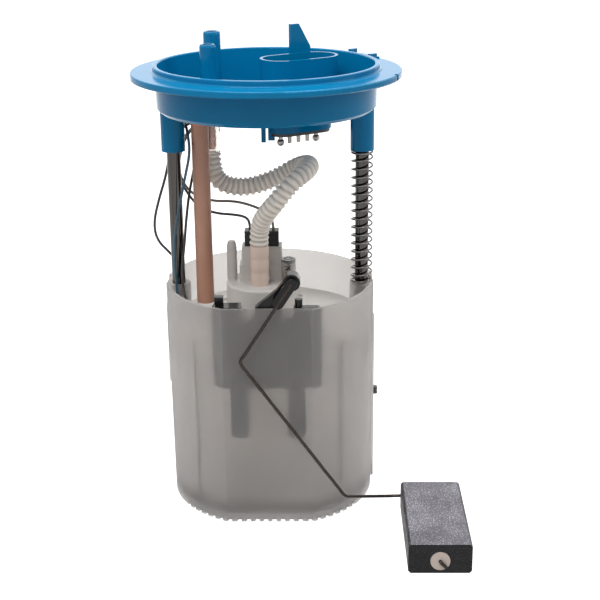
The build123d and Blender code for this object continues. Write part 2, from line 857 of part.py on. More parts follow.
# Rubber rings that hold the pump in its tube
lower_ring_bottom = holder_bottom + deck_thickness
upper_ring_bottom = deck_bottom - isolator_height
pump_axis = Axis((pump_x, pump_y, 0), (0, 0, 1))
pump_view = Plane(origin=(pump_x, pump_y, 0), x_dir=(1, 0, 0), z_dir=(0, -1, 0))
with BuildPart() as isolator_lower:
    with BuildSketch(pump_view):
        with BuildLine():
            Polyline(
                (holder_bore - holder_lip, lower_ring_bottom),
                (holder_bore - isolator_gap, lower_ring_bottom),
                (holder_bore - isolator_gap, can_bottom + isolator_height),
                (can_radius, can_bottom + isolator_height),
                (can_radius, can_bottom - inlet_plate),
                (holder_bore - holder_lip, can_bottom - inlet_plate),
                close=True,
            )
        make_face()
    revolve(axis=pump_axis)
isolator_lower.part.label = "isolator_lower"
export_step(isolator_lower.part, "parts/isolator_lower.step")

with BuildPart() as isolator_upper:
    with BuildSketch(Plane.XY.offset(upper_ring_bottom)):
        with Locations((pump_x, pump_y)):
            Circle(holder_bore - isolator_gap)
            Circle(can_radius, mode=Mode.SUBTRACT)
    extrude(amount=isolator_height)
isolator_upper.part.label = "isolator_upper"
export_step(isolator_upper.part, "parts/isolator_upper.step")

# Pump cover with outlet barb, spigot and the stepped boss of the plugs
plug_y = boss_front + boss_depth / 2
with BuildPart() as pump_cover:
    with BuildSketch(pump_view):
        with BuildLine():
            Polyline(
                (can_radius + slip, deck_top),
                (cover_flange_radius, deck_top),
                (cover_flange_radius, deck_top + cover_flange),
                (cover_radius, deck_top + cover_flange),
                (cover_radius, cover_top),
                (0, cover_top),
                (0, cover_top - cover_plate),
                (can_radius + slip, cover_top - cover_plate),
                close=True,
            )
        make_face()
    revolve(axis=pump_axis)
    fillet(pump_cover.edges().filter_by(GeomType.CIRCLE).group_by(Axis.Z)[-1], 1.2)
    with BuildSketch(Plane.XY.offset(cover_top)):
        with Locations((boss_x, plug_y)):
            RectangleRounded(lower_tier_width, boss_depth, 1.2)
    extrude(amount=lower_tier_height)
    with BuildSketch(Plane.XY.offset(cover_top + lower_tier_height)):
        with Locations((boss_x, plug_y)):
            RectangleRounded(upper_tier_width, boss_depth - 1, 1.2)
    extrude(amount=upper_tier_height, taper=1.2)
    with BuildSketch(Plane.XY.offset(boss_top - plug_seat)):
        with Locations((boss_x - plug_pitch / 2, plug_y), (boss_x + plug_pitch / 2, plug_y)):
            Rectangle(plug_width, plug_depth)
    extrude(amount=plug_seat + 1, mode=Mode.SUBTRACT)
    with BuildSketch(Plane.XY.offset(cover_top)):
        with Locations((spigot_x, spigot_y)):
            Circle(spigot_radius)
    extrude(amount=spigot_height)
    spigot_rim = pump_cover.faces().filter_by(Plane.XY).sort_by(Axis.Z)[-1].edges()
    chamfer(spigot_rim, spigot_height / 7, spigot_radius / 4)
    with BuildSketch(Plane.XY.offset(cover_top)):
        with Locations((outlet_x, outlet_y)):
            Circle(outlet_radius)
    extrude(amount=outlet_height)
    with BuildSketch(Plane.XY.offset(cover_top - cover_plate)):
        with Locations((outlet_x, outlet_y)):
            Circle(outlet_bore)
    extrude(amount=cover_plate + outlet_height, mode=Mode.SUBTRACT)
    with BuildSketch(Plane.XY.offset(cover_top - cover_plate)):
        with Locations((relief_x, relief_y)):
            Circle(plunger_stem)
    extrude(amount=cover_plate, mode=Mode.SUBTRACT)
pump_cover.part.label = "pump_cover"
export_step(pump_cover.part, "parts/pump_cover.step")

# Wire plugs of the pump
plug_top = boss_top - plug_seat + plug_height
for side, plug_name in ((-1, "plug_left"), (1, "plug_right")):
    with BuildPart() as plug:
        with BuildSketch(Plane.XY.offset(boss_top - plug_seat)):
            with Locations((boss_x + side * plug_pitch / 2, plug_y)):
                Rectangle(plug_width, plug_depth)
        extrude(amount=plug_height)
        with BuildSketch(Plane.XY.offset(plug_top - plug_cap - plug_neck)):
            with Locations((boss_x + side * plug_pitch / 2, plug_y)):
                Rectangle(plug_width, plug_depth)
                Rectangle(plug_width - 2 * plug_neck, plug_depth - 2 * plug_neck, mode=Mode.SUBTRACT)
        extrude(amount=plug_neck, mode=Mode.SUBTRACT)
    plug.part.label = plug_name
    export_step(plug.part, f"parts/{plug_name}.step")

# Relief valve: slotted body, plunger, spring and cap
relief_top = cover_top + relief_height
relief_seat = cover_top + relief_floor
relief_view = Plane(origin=(relief_x, relief_y, 0), x_dir=(1, 0, 0), z_dir=(0, -1, 0))
relief_axis = Axis((relief_x, relief_y, 0), (0, 0, 1))
with BuildPart() as relief_body:
    with BuildSketch(Plane.XY.offset(cover_top)):
        with Locations((relief_x, relief_y)):
            Circle(relief_radius)
    extrude(amount=relief_height)
    with BuildSketch(Plane.XY.offset(relief_seat)):
        with Locations((relief_x, relief_y)):
            Circle(relief_bore)
    extrude(amount=relief_height, mode=Mode.SUBTRACT)
    with BuildSketch(Plane.XY.offset(cover_top)):
        with Locations((relief_x, relief_y)):
            Circle(plunger_stem)
    extrude(amount=relief_floor, mode=Mode.SUBTRACT)
    with BuildSketch(Plane.XY.offset(relief_seat + relief_cap)):
        with Locations((relief_x, relief_y - relief_radius)):
            Rectangle(relief_slot, 2 * relief_radius)
    extrude(amount=relief_height - relief_floor - 3 * relief_cap, mode=Mode.SUBTRACT)
relief_body.part.label = "relief_body"
export_step(relief_body.part, "parts/relief_body.step")

with BuildPart() as relief_cap_disc:
    with BuildSketch(Plane.XY.offset(relief_top - relief_cap)):
        with Locations((relief_x, relief_y)):
            Circle(relief_bore)
            Circle(plunger_stem + running, mode=Mode.SUBTRACT)
    extrude(amount=relief_cap)
relief_cap_disc.part.label = "relief_cap"
export_step(relief_cap_disc.part, "parts/relief_cap.step")

plunger_top = relief_seat + plunger_head_height
with BuildPart() as relief_plunger:
    with BuildSketch(relief_view):
        with BuildLine():
            Polyline(
                (0, relief_seat),
                (plunger_head, relief_seat),
                (plunger_head, plunger_top),
                (plunger_stem, plunger_top),
                (plunger_stem, relief_top - relief_cap + relief_stem_top),
                (0, relief_top - relief_cap + relief_stem_top),
                close=True,
            )
        make_face()
    revolve(axis=relief_axis)
relief_plunger.part.label = "relief_plunger"
export_step(relief_plunger.part, "parts/relief_plunger.step")

relief_spring = helix_spring(
    relief_spring_radius,
    relief_wire,
    relief_turns,
    plunger_top,
    relief_top - relief_cap,
    (relief_x, relief_y),
    "relief_spring",
)
export_step(relief_spring, "parts/relief_spring.step")

# Pump can and its end pieces
can_bore = can_radius - can_wall
with BuildPart() as pump_can:
    with BuildSketch(Plane.XY.offset(can_bottom)):
        with Locations((pump_x, pump_y)):
            Circle(can_radius)
            Circle(can_bore, mode=Mode.SUBTRACT)
    extrude(amount=can_top - can_bottom)
pump_can.part.label = "pump_can"
export_step(pump_can.part, "parts/pump_can.step")

inlet_bottom = can_bottom - inlet_plate - inlet_length
with BuildPart() as pump_inlet:
    with BuildSketch(pump_view):
        with BuildLine():
            Polyline(
                (inlet_radius - can_wall, inlet_bottom),
                (inlet_radius, inlet_bottom),
                (inlet_radius, can_bottom - inlet_plate),
                (can_radius, can_bottom - inlet_plate),
                (can_radius, can_bottom),
                (can_bore, can_bottom),
                (can_bore, can_bottom + inlet_plug),
                (shaft_radius + running, can_bottom + inlet_plug),
                (shaft_radius + running, can_bottom),
                (inlet_radius - can_wall, can_bottom),
                close=True,
            )
        make_face()
    revolve(axis=pump_axis)
pump_inlet.part.label = "pump_inlet"
export_step(pump_inlet.part, "parts/pump_inlet.step")

with BuildPart() as bell_end:
    with BuildSketch(Plane.XY.offset(can_top - bell_height)):
        with Locations((pump_x, pump_y)):
            Circle(can_bore)
            Circle(shaft_radius + running, mode=Mode.SUBTRACT)
            with PolarLocations(can_bore / 2, 4, 45):
                Circle(outlet_bore, mode=Mode.SUBTRACT)
    extrude(amount=bell_height)
bell_end.part.label = "bell_end"
export_step(bell_end.part, "parts/bell_end.step")

for magnet_turn, magnet_name in ((0, "magnet_front"), (180, "magnet_rear")):
    with BuildPart() as magnet:
        with BuildSketch(Plane.XY.offset(stack_bottom - slip)):
            first = magnet_turn - 90 - magnet_angle / 2
            with BuildLine():
                centre = (pump_x, pump_y)
                outer = CenterArc(centre, can_bore, first, magnet_angle)
                inner = CenterArc(centre, can_bore - magnet_thickness, first, magnet_angle)
                Line(outer @ 0, inner @ 0)
                Line(outer @ 1, inner @ 1)
            make_face()
        extrude(amount=stack_height + 2 * slip)
    magnet.part.label = magnet_name
    export_step(magnet.part, f"parts/{magnet_name}.step")

# Rotor: slotted stack, shaft and commutator in one piece
impeller_bottom = can_bottom + inlet_plug + slip
commutator_bottom = stack_bottom + stack_height + slip
shaft_bottom = can_bottom + slip
with BuildPart() as armature:
    with BuildSketch(Plane.XY.offset(shaft_bottom)):
        with Locations((pump_x, pump_y)):
            Circle(shaft_radius)
    extrude(amount=can_top - slip - shaft_bottom)
    with BuildSketch(Plane.XY.offset(stack_bottom)):
        with Locations((pump_x, pump_y)):
            Circle(stack_radius)
            with PolarLocations(stack_radius, stack_slots):
                Rectangle(*stack_slot, mode=Mode.SUBTRACT)
    extrude(amount=stack_height)
    with BuildSketch(Plane.XY.offset(commutator_bottom - slip)):
        with Locations((pump_x, pump_y)):
            Circle(commutator_radius)
    extrude(amount=commutator_height)
armature.part.label = "armature"
export_step(armature.part, "parts/armature.step")

with BuildPart() as impeller:
    with BuildSketch(Plane.XY.offset(impeller_bottom)):
        with Locations((pump_x, pump_y)):
            Circle(impeller_radius)
            Circle(shaft_radius, mode=Mode.SUBTRACT)
            with PolarLocations(impeller_radius, impeller_blades):
                Rectangle(*impeller_pocket, mode=Mode.SUBTRACT)
    extrude(amount=impeller_height)
impeller.part.label = "impeller"
export_step(impeller.part, "parts/impeller.step")

brush_run = can_bore - commutator_radius - running - slip
for side, brush_name in ((-1, "brush_left"), (1, "brush_right")):
    with BuildPart() as brush:
        brush_x = pump_x + side * (commutator_radius + running + brush_run / 2)
        with BuildSketch(Plane.XY.offset(commutator_bottom + 1)):
            with Locations((brush_x, pump_y)):
                Rectangle(brush_run, brush_size)
        extrude(amount=brush_size)
    brush.part.label = brush_name
    export_step(brush.part, f"parts/{brush_name}.step")

# Strainer sock under the pump
with BuildPart() as strainer:
    with BuildSketch(Plane.XY.offset(strainer_bottom)):
        with Locations((pump_x, pump_y)):
            RectangleRounded(strainer_width, strainer_depth, 5)
    extrude(amount=strainer_height)
    fillet(strainer.edges().filter_by(Plane.XY), 2)
    with BuildSketch(Plane.XY.offset(strainer_bottom + strainer_height - 1)):
        with Locations((pump_x, pump_y)):
            Circle(inlet_radius + strainer_neck_wall)
    extrude(amount=inlet_bottom + strainer_neck - strainer_bottom - strainer_height + 1)
    with BuildSketch(Plane.XY.offset(inlet_bottom)):
        with Locations((pump_x, pump_y)):
            Circle(inlet_radius)
    extrude(amount=strainer_neck, mode=Mode.SUBTRACT)
strainer.part.label = "strainer"
export_step(strainer.part, "parts/strainer.step")

# Level sender: open backed housing with two legs, top lobes and a hub on a slanted bracket
sender_front = foot_flat + slope * leg_bottom - reservoir_wall - slip
sender_depth = sender_front - sender_rear
sender_height = sender_top - sender_bottom
lobe_width = lobe_right - lobe_left
with BuildPart() as sender_housing:
    with BuildSketch(Plane.XZ.offset(sender_rear)):
        with Locations((0, sender_bottom + sender_height / 2)):
            RectangleRounded(2 * sender_half_width, sender_height, 2)
        with Locations(((lobe_left + lobe_right) / 2, sender_top)):
            Rectangle(lobe_width, 2 * (sender_top - bracket_root), mode=Mode.SUBTRACT)
    extrude(amount=sender_depth)
    with BuildSketch(Plane.XZ.offset(sender_rear)):
        with Locations((0, sender_bottom + (bracket_root - sender_bottom) / 2)):
            RectangleRounded(
                2 * (sender_half_width - sender_wall),
                bracket_root - sender_bottom - 2 * sender_wall,
                1,
            )
    extrude(amount=sender_depth - sender_wall, mode=Mode.SUBTRACT)
    with BuildSketch(Plane.XZ.offset(sender_rear)):
        for side in (-1, 1):
            with BuildLine():
                Polyline(
                    (side * (leg_x - leg_width / 2), sender_bottom + 1),
                    (side * (leg_x + leg_width / 2), sender_bottom + 1),
                    (side * (leg_x + leg_width / 2), leg_bottom + 2),
                    (side * (leg_x + leg_width / 2 - 2), leg_bottom),
                    (side * (leg_x - leg_width / 2 + 1), leg_bottom),
                    (side * (leg_x - leg_width / 2), leg_bottom + 1),
                    close=True,
                )
            make_face()
    extrude(amount=sender_depth)
    with BuildSketch(Plane.XZ.offset(sender_rear)):
        with Locations((0, (leg_bottom + sender_bottom) / 2 - 1)):
            Rectangle(3 * sender_half_width, sender_bottom - leg_bottom + 2)
    extrude(amount=sender_depth - leg_depth, mode=Mode.SUBTRACT)
    extrude(
        reservoir_outline(reservoir_wall + slip, leg_bottom),
        amount=sender_top - leg_bottom,
        taper=-draft_angle,
        mode=Mode.INTERSECT,
    )
    with BuildSketch(Plane.XZ.offset(bracket_rear)):
        with BuildLine():
            Polyline(*bracket_corners, close=True)
        make_face()
        with Locations(hub_point):
            Circle(hub_radius)
    extrude(amount=sender_front - bracket_rear)
    with BuildSketch(Plane.XZ.offset(bracket_rear)):
        with Locations(hub_point):
            Circle(hub_radius)
    extrude(amount=hub_front - bracket_rear)
    with BuildSketch(Plane.XZ.offset(sender_rear)):
        card_room = card_outer + 1
        with Locations(hub_point):
            Rectangle(2 * card_room, 2 * card_room)
        with Locations((hub_x, hub_z + card_room)):
            Rectangle(4 * card_room, 2 * card_room)
    extrude(amount=bracket_rear - sender_rear, mode=Mode.SUBTRACT)
    with BuildSketch(Plane.XY.offset(sender_top)):
        with Locations((peg_x, -(bracket_rear + sender_front) / 2)):
            Circle(peg_radius)
    extrude(amount=peg_height)
    with BuildSketch(Plane.XZ.offset(bracket_rear)):
        with Locations(hub_point):
            Circle(journal_radius + running)
    extrude(amount=hub_front - bracket_rear, mode=Mode.SUBTRACT)
sender_housing.part.label = "sender_housing"
export_step(sender_housing.part, "parts/sender_housing.step")

# Wire plug on the left lobe of the sender
with BuildPart() as sender_plug:
    with BuildSketch(Plane.XY.offset(sender_top)):
        with Locations((sender_plug_x, sender_plug_y)):
            Rectangle(sender_plug_width, sender_plug_depth)
    extrude(amount=sender_plug_height)
    fillet(sender_plug.edges().filter_by(Axis.Z), 0.4)
sender_plug.part.label = "sender_plug"
export_step(sender_plug.part, "parts/sender_plug.step")

# Resistor card behind the bracket, an arc about the hub
with BuildPart() as resistor_card:
    with BuildSketch(Plane.XZ.offset(bracket_rear - card_thickness)):
        with BuildLine():
            outer = CenterArc(hub_point, card_outer, card_start, card_sweep)
            inner = CenterArc(hub_point, card_inner, card_start, card_sweep)
            Line(outer @ 0, inner @ 0)
            Line(outer @ 1, inner @ 1)
        make_face()
    extrude(amount=card_thickness)
resistor_card.part.label = "resistor_card"
export_step(resistor_card.part, "parts/resistor_card.step")

# Float arm: one bent wire from the hub to the float
elbow_x, elbow_y, elbow_z = arm_elbow
crank_x, crank_y, crank_z = arm_crank
float_front = float_back + float_length
arm_end = float_front + retainer_depth - retainer_sink + arm_wire + slip
arm_points = [
    (hub_x, -arm_pivot_end, hub_z),
    (hub_x, -arm_plane, hub_z),
    (arm_knee[0], -arm_plane, arm_knee[1]),
    (elbow_x, -elbow_y, elbow_z),
    (crank_x, -crank_y, crank_z),
    (float_x, -crank_y, float_axis),
    (float_x, -arm_end, float_axis),
    (float_x + wire_tip, -arm_end, float_axis - wire_tip),
]
arm = round_tube(arm_points, arm_bends, arm_wire, "float_arm")
export_step(arm, "parts/float_arm.step")

# Lever clipped round the wire, with the journal that turns in the hub
lever_run = Vector(arm_knee[0] - hub_x, 0, arm_knee[1] - hub_z).normalized()
lever_rear = hub_front + lever_lift
lever_turn = Vector(1, 0, 0).get_signed_angle(lever_run, Vector(0, -1, 0))
with BuildPart() as sender_lever:
    with BuildSketch(Plane.XZ.offset(lever_rear)):
        with Locations(
            (hub_x + lever_run.X * lever_length / 2, hub_z + lever_run.Z * lever_length / 2)
        ):
            SlotCenterToCenter(lever_length, 2 * lever_radius, rotation=lever_turn)
    extrude(amount=lever_front - lever_rear)
    front_edges = sender_lever.faces().sort_by(Axis.Y)[0].edges()
    fillet(front_edges, 0.6)
    with BuildSketch(Plane.XZ.offset(journal_rear)):
        with Locations(hub_point):
            Circle(journal_radius)
    extrude(amount=lever_rear - journal_rear)
    add(arm, mode=Mode.SUBTRACT)
sender_lever.part.label = "sender_lever"
export_step(sender_lever.part, "parts/sender_lever.step")

# Contact wiper on the rear of the journal
wiper_front = bracket_rear - card_thickness - wiper_gap
wiper_run = Vector(cos(radians(wiper_angle)), 0, sin(radians(wiper_angle)))
with BuildPart() as sender_wiper:
    with BuildSketch(Plane.XZ.offset(wiper_front - wiper_thickness)):
        with Locations(
            (hub_x + wiper_run.X * wiper_radius / 2, hub_z + wiper_run.Z * wiper_radius / 2)
        ):
            SlotCenterToCenter(wiper_radius, wiper_width, rotation=wiper_angle)
        with Locations(hub_point):
            Circle(journal_radius + 1.2)
            Circle(journal_radius, mode=Mode.SUBTRACT)
    extrude(amount=wiper_thickness)
sender_wiper.part.label = "sender_wiper"
export_step(sender_wiper.part, "parts/sender_wiper.step")

# Foam float, free to turn on the wire
with BuildPart() as float_body:
    with BuildSketch(Plane.XZ.offset(float_back)):
        with Locations((float_x, float_bottom + float_height / 2)):
            Rectangle(float_width, float_height)
    extrude(amount=float_length)
    chamfer(float_body.edges().filter_by(Axis.Y), float_corner)
    with BuildSketch(Plane.XZ.offset(float_back)):
        with Locations((float_x, float_axis)):
            Circle(arm_wire + running)
    extrude(amount=float_length, mode=Mode.SUBTRACT)
    with BuildSketch(Plane.XZ.offset(float_front - retainer_sink)):
        with Locations((float_x, float_axis)):
            Circle(retainer_radius + slip)
    extrude(amount=retainer_sink, mode=Mode.SUBTRACT)
float_body.part.label = "float"
export_step(float_body.part, "parts/float.step")

# Push-on retainer sunk in the front face of the float
with BuildPart() as float_retainer:
    with BuildSketch(Plane.XZ.offset(float_front - retainer_sink + slip)):
        with Locations((float_x, float_axis)):
            Circle(retainer_radius)
            Circle(arm_wire, mode=Mode.SUBTRACT)
    extrude(amount=retainer_depth - slip)
    add(arm, mode=Mode.SUBTRACT)
float_retainer.part.label = "float_retainer"
export_step(float_retainer.part, "parts/float_retainer.step")

# Wires between the flange and the parts in the reservoir
sender_wire_x = sender_plug_x + sender_wire_shift
sender_wire_end = sender_plug_y + sender_plug_depth / 2
sender_wire_z = sender_top + sender_wire_rise
wire_routes = {
    "wire_feed": [
        (2.0, 17.0, 199.5),
        (-8.0, 18.5, 199.2),
        (-22.0, 19.3, 199.0),
        (-35.0, 18.3, 199.5),
        (-43.0, 16.8, 192.0),
        (-47.3, 16.0, 180.5),
        (-47.8, 16.0, 170.5),
        (-42.5, 16.0, 160.5),
        (-31.0, 14.3, 156.3),
        (-18.0, 10.2, 157.6),
        (-6.5, 6.2, 155.2),
        (boss_x + plug_pitch / 2, plug_y, 151.0),
        (boss_x + plug_pitch / 2, plug_y, plug_top),
    ],
    "wire_return": [
        (3.2, 20.0, 202.0),
        (-9.0, 22.0, 201.8),
        (-23.0, 23.0, 201.0),
        (-36.0, 22.0, 198.5),
        (-44.5, 20.5, 190.5),
        (-49.6, 20.0, 180.5),
        (-49.0, 20.0, 169.5),
        (-44.8, 19.3, 160.5),
        (-38.5, 17.8, 152.5),
        (-29.0, 13.8, 149.8),
        (-18.0, 9.0, 150.4),
        (-12.3, 5.6, 150.0),
        (boss_x - plug_pitch / 2, plug_y, 147.6),
        (boss_x - plug_pitch / 2, plug_y, plug_top),
    ],
    "wire_signal": [
        (2.0, 17.0, 203.5),
        (-9.0, 18.6, 203.6),
        (-23.0, 19.6, 203.6),
        (-36.0, 17.5, 203.2),
        (-43.0, 9.0, 201.5),
        (-40.5, -3.5, 198.0),
        (-38.9, -7.5, 188.0),
        (-42.0, -7.8, 175.0),
        (-45.2, -8.0, 161.0),
        (-48.3, -8.2, 146.5),
        (-49.3, -8.4, 131.0),
        (-48.6, -8.6, 118.0),
        (-47.4, -10.5, 107.0),
        (-43.5, -16.5, 103.0),
        (-41.0, -20.0, 111.5),
        (-39.6, -21.5, 120.3),
        (-34.8, -26.5, 120.3),
        (-29.9, -31.2, 116.6),
        (sender_wall / 2 - sender_half_width, wire_lead - sender_rear, sender_top - signal_drop),
        (sender_wall / 2 - sender_half_width, -sender_rear, sender_top - signal_drop),
    ],
    "wire_sender": [
        (2.4, 19.3, 197.5),
        (-9.0, 21.0, 197.6),
        (-22.0, 20.8, 197.2),
        (-31.5, 20.3, 195.5),
        (-37.2, 12.5, 188.5),
        (-38.6, 8.0, 177.0),
        (-41.6, 5.0, 163.5),
        (-43.2, 0.0, 150.0),
        (-44.2, -5.0, 137.0),
        (-45.8, -7.6, 125.0),
        (-45.0, -9.0, 113.5),
        (-42.5, -13.0, 105.0),
        (-36.5, -20.5, 102.5),
        (-30.0, -28.0, 106.5),
        (-26.2, -32.0, 115.0),
        (sender_wire_x, sender_wire_end + sender_wire_lead, sender_wire_z),
        (sender_wire_x, sender_wire_end, sender_wire_z),
    ],
    "wire_ground": [
        (5.0, 21.3, 199.5),
        (-7.0, 24.5, 199.6),
        (-21.0, 26.0, 199.0),
        (-35.0, 26.5, 199.0),
        (-47.0, 24.0, 194.0),
        (-52.0, 17.0, 184.0),
        (-54.0, 11.8, 171.5),
        (-58.5, 9.5, 158.0),
        (-61.5, 9.0, 146.0),
        (-60.8, 9.0, 134.5),
        (-57.0, 9.4, 124.5),
        (-49.8, 10.4, 118.0),
        (-45.6, 14.0, 107.5),
        (-45.6, 14.0, deck_top),
    ],
}
for wire_name, wire_points in wire_routes.items():
    wire = round_tube(wire_points, corner_radii(wire_points), wire_radius, wire_name)
    export_step(wire, f"parts/{wire_name}.step")
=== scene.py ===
import math

import bpy
import numpy as np
from bpy.props import FloatProperty, FloatVectorProperty, IntProperty, PointerProperty
from bpy.types import Operator, Panel, PropertyGroup
from mathutils import Matrix, Vector


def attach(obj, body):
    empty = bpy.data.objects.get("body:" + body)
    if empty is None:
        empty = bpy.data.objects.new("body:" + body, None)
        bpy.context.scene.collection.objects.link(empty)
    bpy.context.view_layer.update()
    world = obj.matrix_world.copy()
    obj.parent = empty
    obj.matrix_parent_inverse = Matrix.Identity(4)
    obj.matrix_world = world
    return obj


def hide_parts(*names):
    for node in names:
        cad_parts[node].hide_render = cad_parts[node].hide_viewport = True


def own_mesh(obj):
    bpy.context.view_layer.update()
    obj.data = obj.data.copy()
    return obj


bl_info = {
    "name": "Fuel pump module",
    "version": (1, 0, 0),
    "blender": (4, 5, 0),
    "location": "View3D > Sidebar > Fuel Module",
    "description": "Hose, wires, springs and finishes of an in-tank fuel pump module",
    "category": "Object",
}

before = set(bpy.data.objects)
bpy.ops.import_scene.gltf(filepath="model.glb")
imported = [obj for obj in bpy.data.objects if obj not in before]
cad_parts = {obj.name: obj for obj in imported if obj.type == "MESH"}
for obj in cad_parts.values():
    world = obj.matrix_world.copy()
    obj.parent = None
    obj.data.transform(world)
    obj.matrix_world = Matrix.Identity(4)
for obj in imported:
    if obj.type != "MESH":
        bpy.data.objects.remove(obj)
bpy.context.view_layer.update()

# Routes in metres, each from the flange down to the reservoir
hose_route = [
    (-0.0299, 0.012, 0.1837),
    (-0.0299, 0.012, 0.1735),
    (-0.025, 0.0127, 0.166),
    (-0.0125, 0.0138, 0.1636),
    (0.003, 0.015, 0.1682),
    (0.014, 0.0135, 0.175),
    (0.0208, 0.006, 0.1784),
    (0.0216, -0.008, 0.1792),
    (0.013, -0.0172, 0.1746),
    (0.0046, -0.0183, 0.1642),
    (-0.0018, -0.013, 0.1555),
    (-0.005, -0.007, 0.1475),
    (-0.005, -0.007, 0.1383),
]
feed_route = [
    (0.002, 0.017, 0.1995),
    (-0.008, 0.0185, 0.1992),
    (-0.022, 0.0193, 0.199),
    (-0.035, 0.0183, 0.1995),
    (-0.043, 0.0168, 0.192),
    (-0.0473, 0.016, 0.1805),
    (-0.0478, 0.016, 0.1705),
    (-0.0425, 0.016, 0.1605),
    (-0.031, 0.0143, 0.1563),
    (-0.018, 0.0102, 0.1576),
    (-0.0065, 0.0062, 0.1552),
    (0.00205, 0.0041, 0.151),
    (0.00205, 0.0041, 0.1436),
]
return_route = [
    (0.0032, 0.02, 0.202),
    (-0.009, 0.022, 0.2018),
    (-0.023, 0.023, 0.201),
    (-0.036, 0.022, 0.1985),
    (-0.0445, 0.0205, 0.1905),
    (-0.0496, 0.02, 0.1805),
    (-0.049, 0.02, 0.1695),
    (-0.0448, 0.0193, 0.1605),
    (-0.0385, 0.0178, 0.1525),
    (-0.029, 0.0138, 0.1498),
    (-0.018, 0.009, 0.1504),
    (-0.0123, 0.0056, 0.15),
    (-0.01025, 0.0041, 0.1476),
    (-0.01025, 0.0041, 0.1436),
]
signal_route = [
    (0.002, 0.017, 0.2035),
    (-0.009, 0.0186, 0.2036),
    (-0.023, 0.0196, 0.2036),
    (-0.036, 0.0175, 0.2032),
    (-0.043, 0.009, 0.2015),
    (-0.0405, -0.0035, 0.198),
    (-0.0389, -0.0075, 0.188),
    (-0.042, -0.0078, 0.175),
    (-0.0452, -0.008, 0.161),
    (-0.0483, -0.0082, 0.1465),
    (-0.0493, -0.0084, 0.131),
    (-0.0486, -0.0086, 0.118),
    (-0.0478, -0.0102, 0.1045),
    (-0.0455, -0.0155, 0.0985),
    (-0.0415, -0.0202, 0.1035),
    (-0.0382, -0.0236, 0.1125),
    (-0.0345, -0.027, 0.1122),
    (-0.0305, -0.0312, 0.1075),
    (-0.026, -0.0345, 0.1125),
    (-0.026, -0.039, 0.114),
]
sender_route = [
    (0.0024, 0.0193, 0.1975),
    (-0.009, 0.021, 0.1976),
    (-0.022, 0.0208, 0.1972),
    (-0.0315, 0.0203, 0.1955),
    (-0.0372, 0.0125, 0.1885),
    (-0.0386, 0.008, 0.177),
    (-0.0416, 0.005, 0.1635),
    (-0.0432, 0.0, 0.15),
    (-0.0442, -0.005, 0.137),
    (-0.0458, -0.0076, 0.125),
    (-0.045, -0.009, 0.1135),
    (-0.0425, -0.0118, 0.1065),
    (-0.0368, -0.0188, 0.1045),
    (-0.03, -0.027, 0.1085),
    (-0.0262, -0.0318, 0.1155),
    (-0.0232, -0.0344, 0.1199),
    (-0.0232, -0.038, 0.1199),
]
ground_route = [
    (0.005, 0.0213, 0.1995),
    (-0.007, 0.0245, 0.1996),
    (-0.021, 0.026, 0.199),
    (-0.035, 0.0265, 0.199),
    (-0.047, 0.024, 0.194),
    (-0.052, 0.017, 0.184),
    (-0.054, 0.0118, 0.1715),
    (-0.0585, 0.0095, 0.158),
    (-0.0615, 0.009, 0.146),
    (-0.0602, 0.009, 0.1365),
    (-0.0533, 0.0098, 0.129),
    (-0.0483, 0.0112, 0.1215),
    (-0.0456, 0.014, 0.1075),
    (-0.0456, 0.014, 0.096),
]

# Each wire: its route, its length in metres, its slot and its colour
looms = {
    "feed": (feed_route, 0.135, "wire_brown", (0.17, 0.145, 0.12)),
    "return": (return_route, 0.1292, "wire_black", (0.035, 0.036, 0.035)),
    "signal": (signal_route, 0.2016, "wire_blue", (0.012, 0.06, 0.1)),
    "sender": (sender_route, 0.1728, "wire_black", (0.018, 0.018, 0.02)),
    "ground": (ground_route, 0.1611, "wire_black", (0.022, 0.022, 0.022)),
}

# How finely hose, wires and springs are drawn
hose_points_per_rib = 14
hose_sides = 40
wire_points = 260
coil_points_per_turn = 40
coil_sides = 12

# Above 1 a rib of the hose is wider than the groove beside it
groove_power = 1.3

# The camera's place in metres, and its pitch, yaw and roll in radians
camera_place = (0.027906, -0.635865, 0.327208)
camera_angles = (0.3352, -0.0191, -0.01)
camera_lens = 75.92
camera_sensor = 36.0

# The floor's half width in metres, and the strength of its own light where the camera sees it
floor_half = 8.0
floor_lift = 0.95

# Each lamp: its name, its place, its width in metres and its share of the key lamp's power
lamps = (
    ("key_lamp", (-0.15, -0.42, 1.1), 0.7, 1.0),
    ("top_lamp", (0.1, 0.35, 1.1), 0.8, 0.5),
    ("left_lamp", (-0.8, -0.35, 0.7), 0.6, 0.12),
    ("right_lamp", (0.85, -0.1, 0.55), 0.5, 0.2),
    ("rear_lamp", (0.1, 0.9, 0.5), 1.4, 0.3),
)
lamp_target = (0.0, 0.0, 0.12)


class HoseSettings(PropertyGroup):
    diameter: FloatProperty(
        name="Diameter", description="Over the ribs of the hose", default=0.01, unit="LENGTH"
    )
    pitch: FloatProperty(
        name="Rib pitch", description="From one rib to the next", default=0.003, unit="LENGTH"
    )
    groove: FloatProperty(
        name="Groove depth", description="From a rib's top down", default=0.00105, unit="LENGTH"
    )
    colour: FloatVectorProperty(
        name="Colour",
        description="Colour of the hose",
        default=(1.0, 0.93, 0.85),
        subtype="COLOR",
    )


class WireSettings(PropertyGroup):
    diameter: FloatProperty(
        name="Diameter", description="Over the insulation", default=0.0014, unit="LENGTH"
    )
    sides: IntProperty(name="Sides", description="Faces round a wire", default=16, min=6)


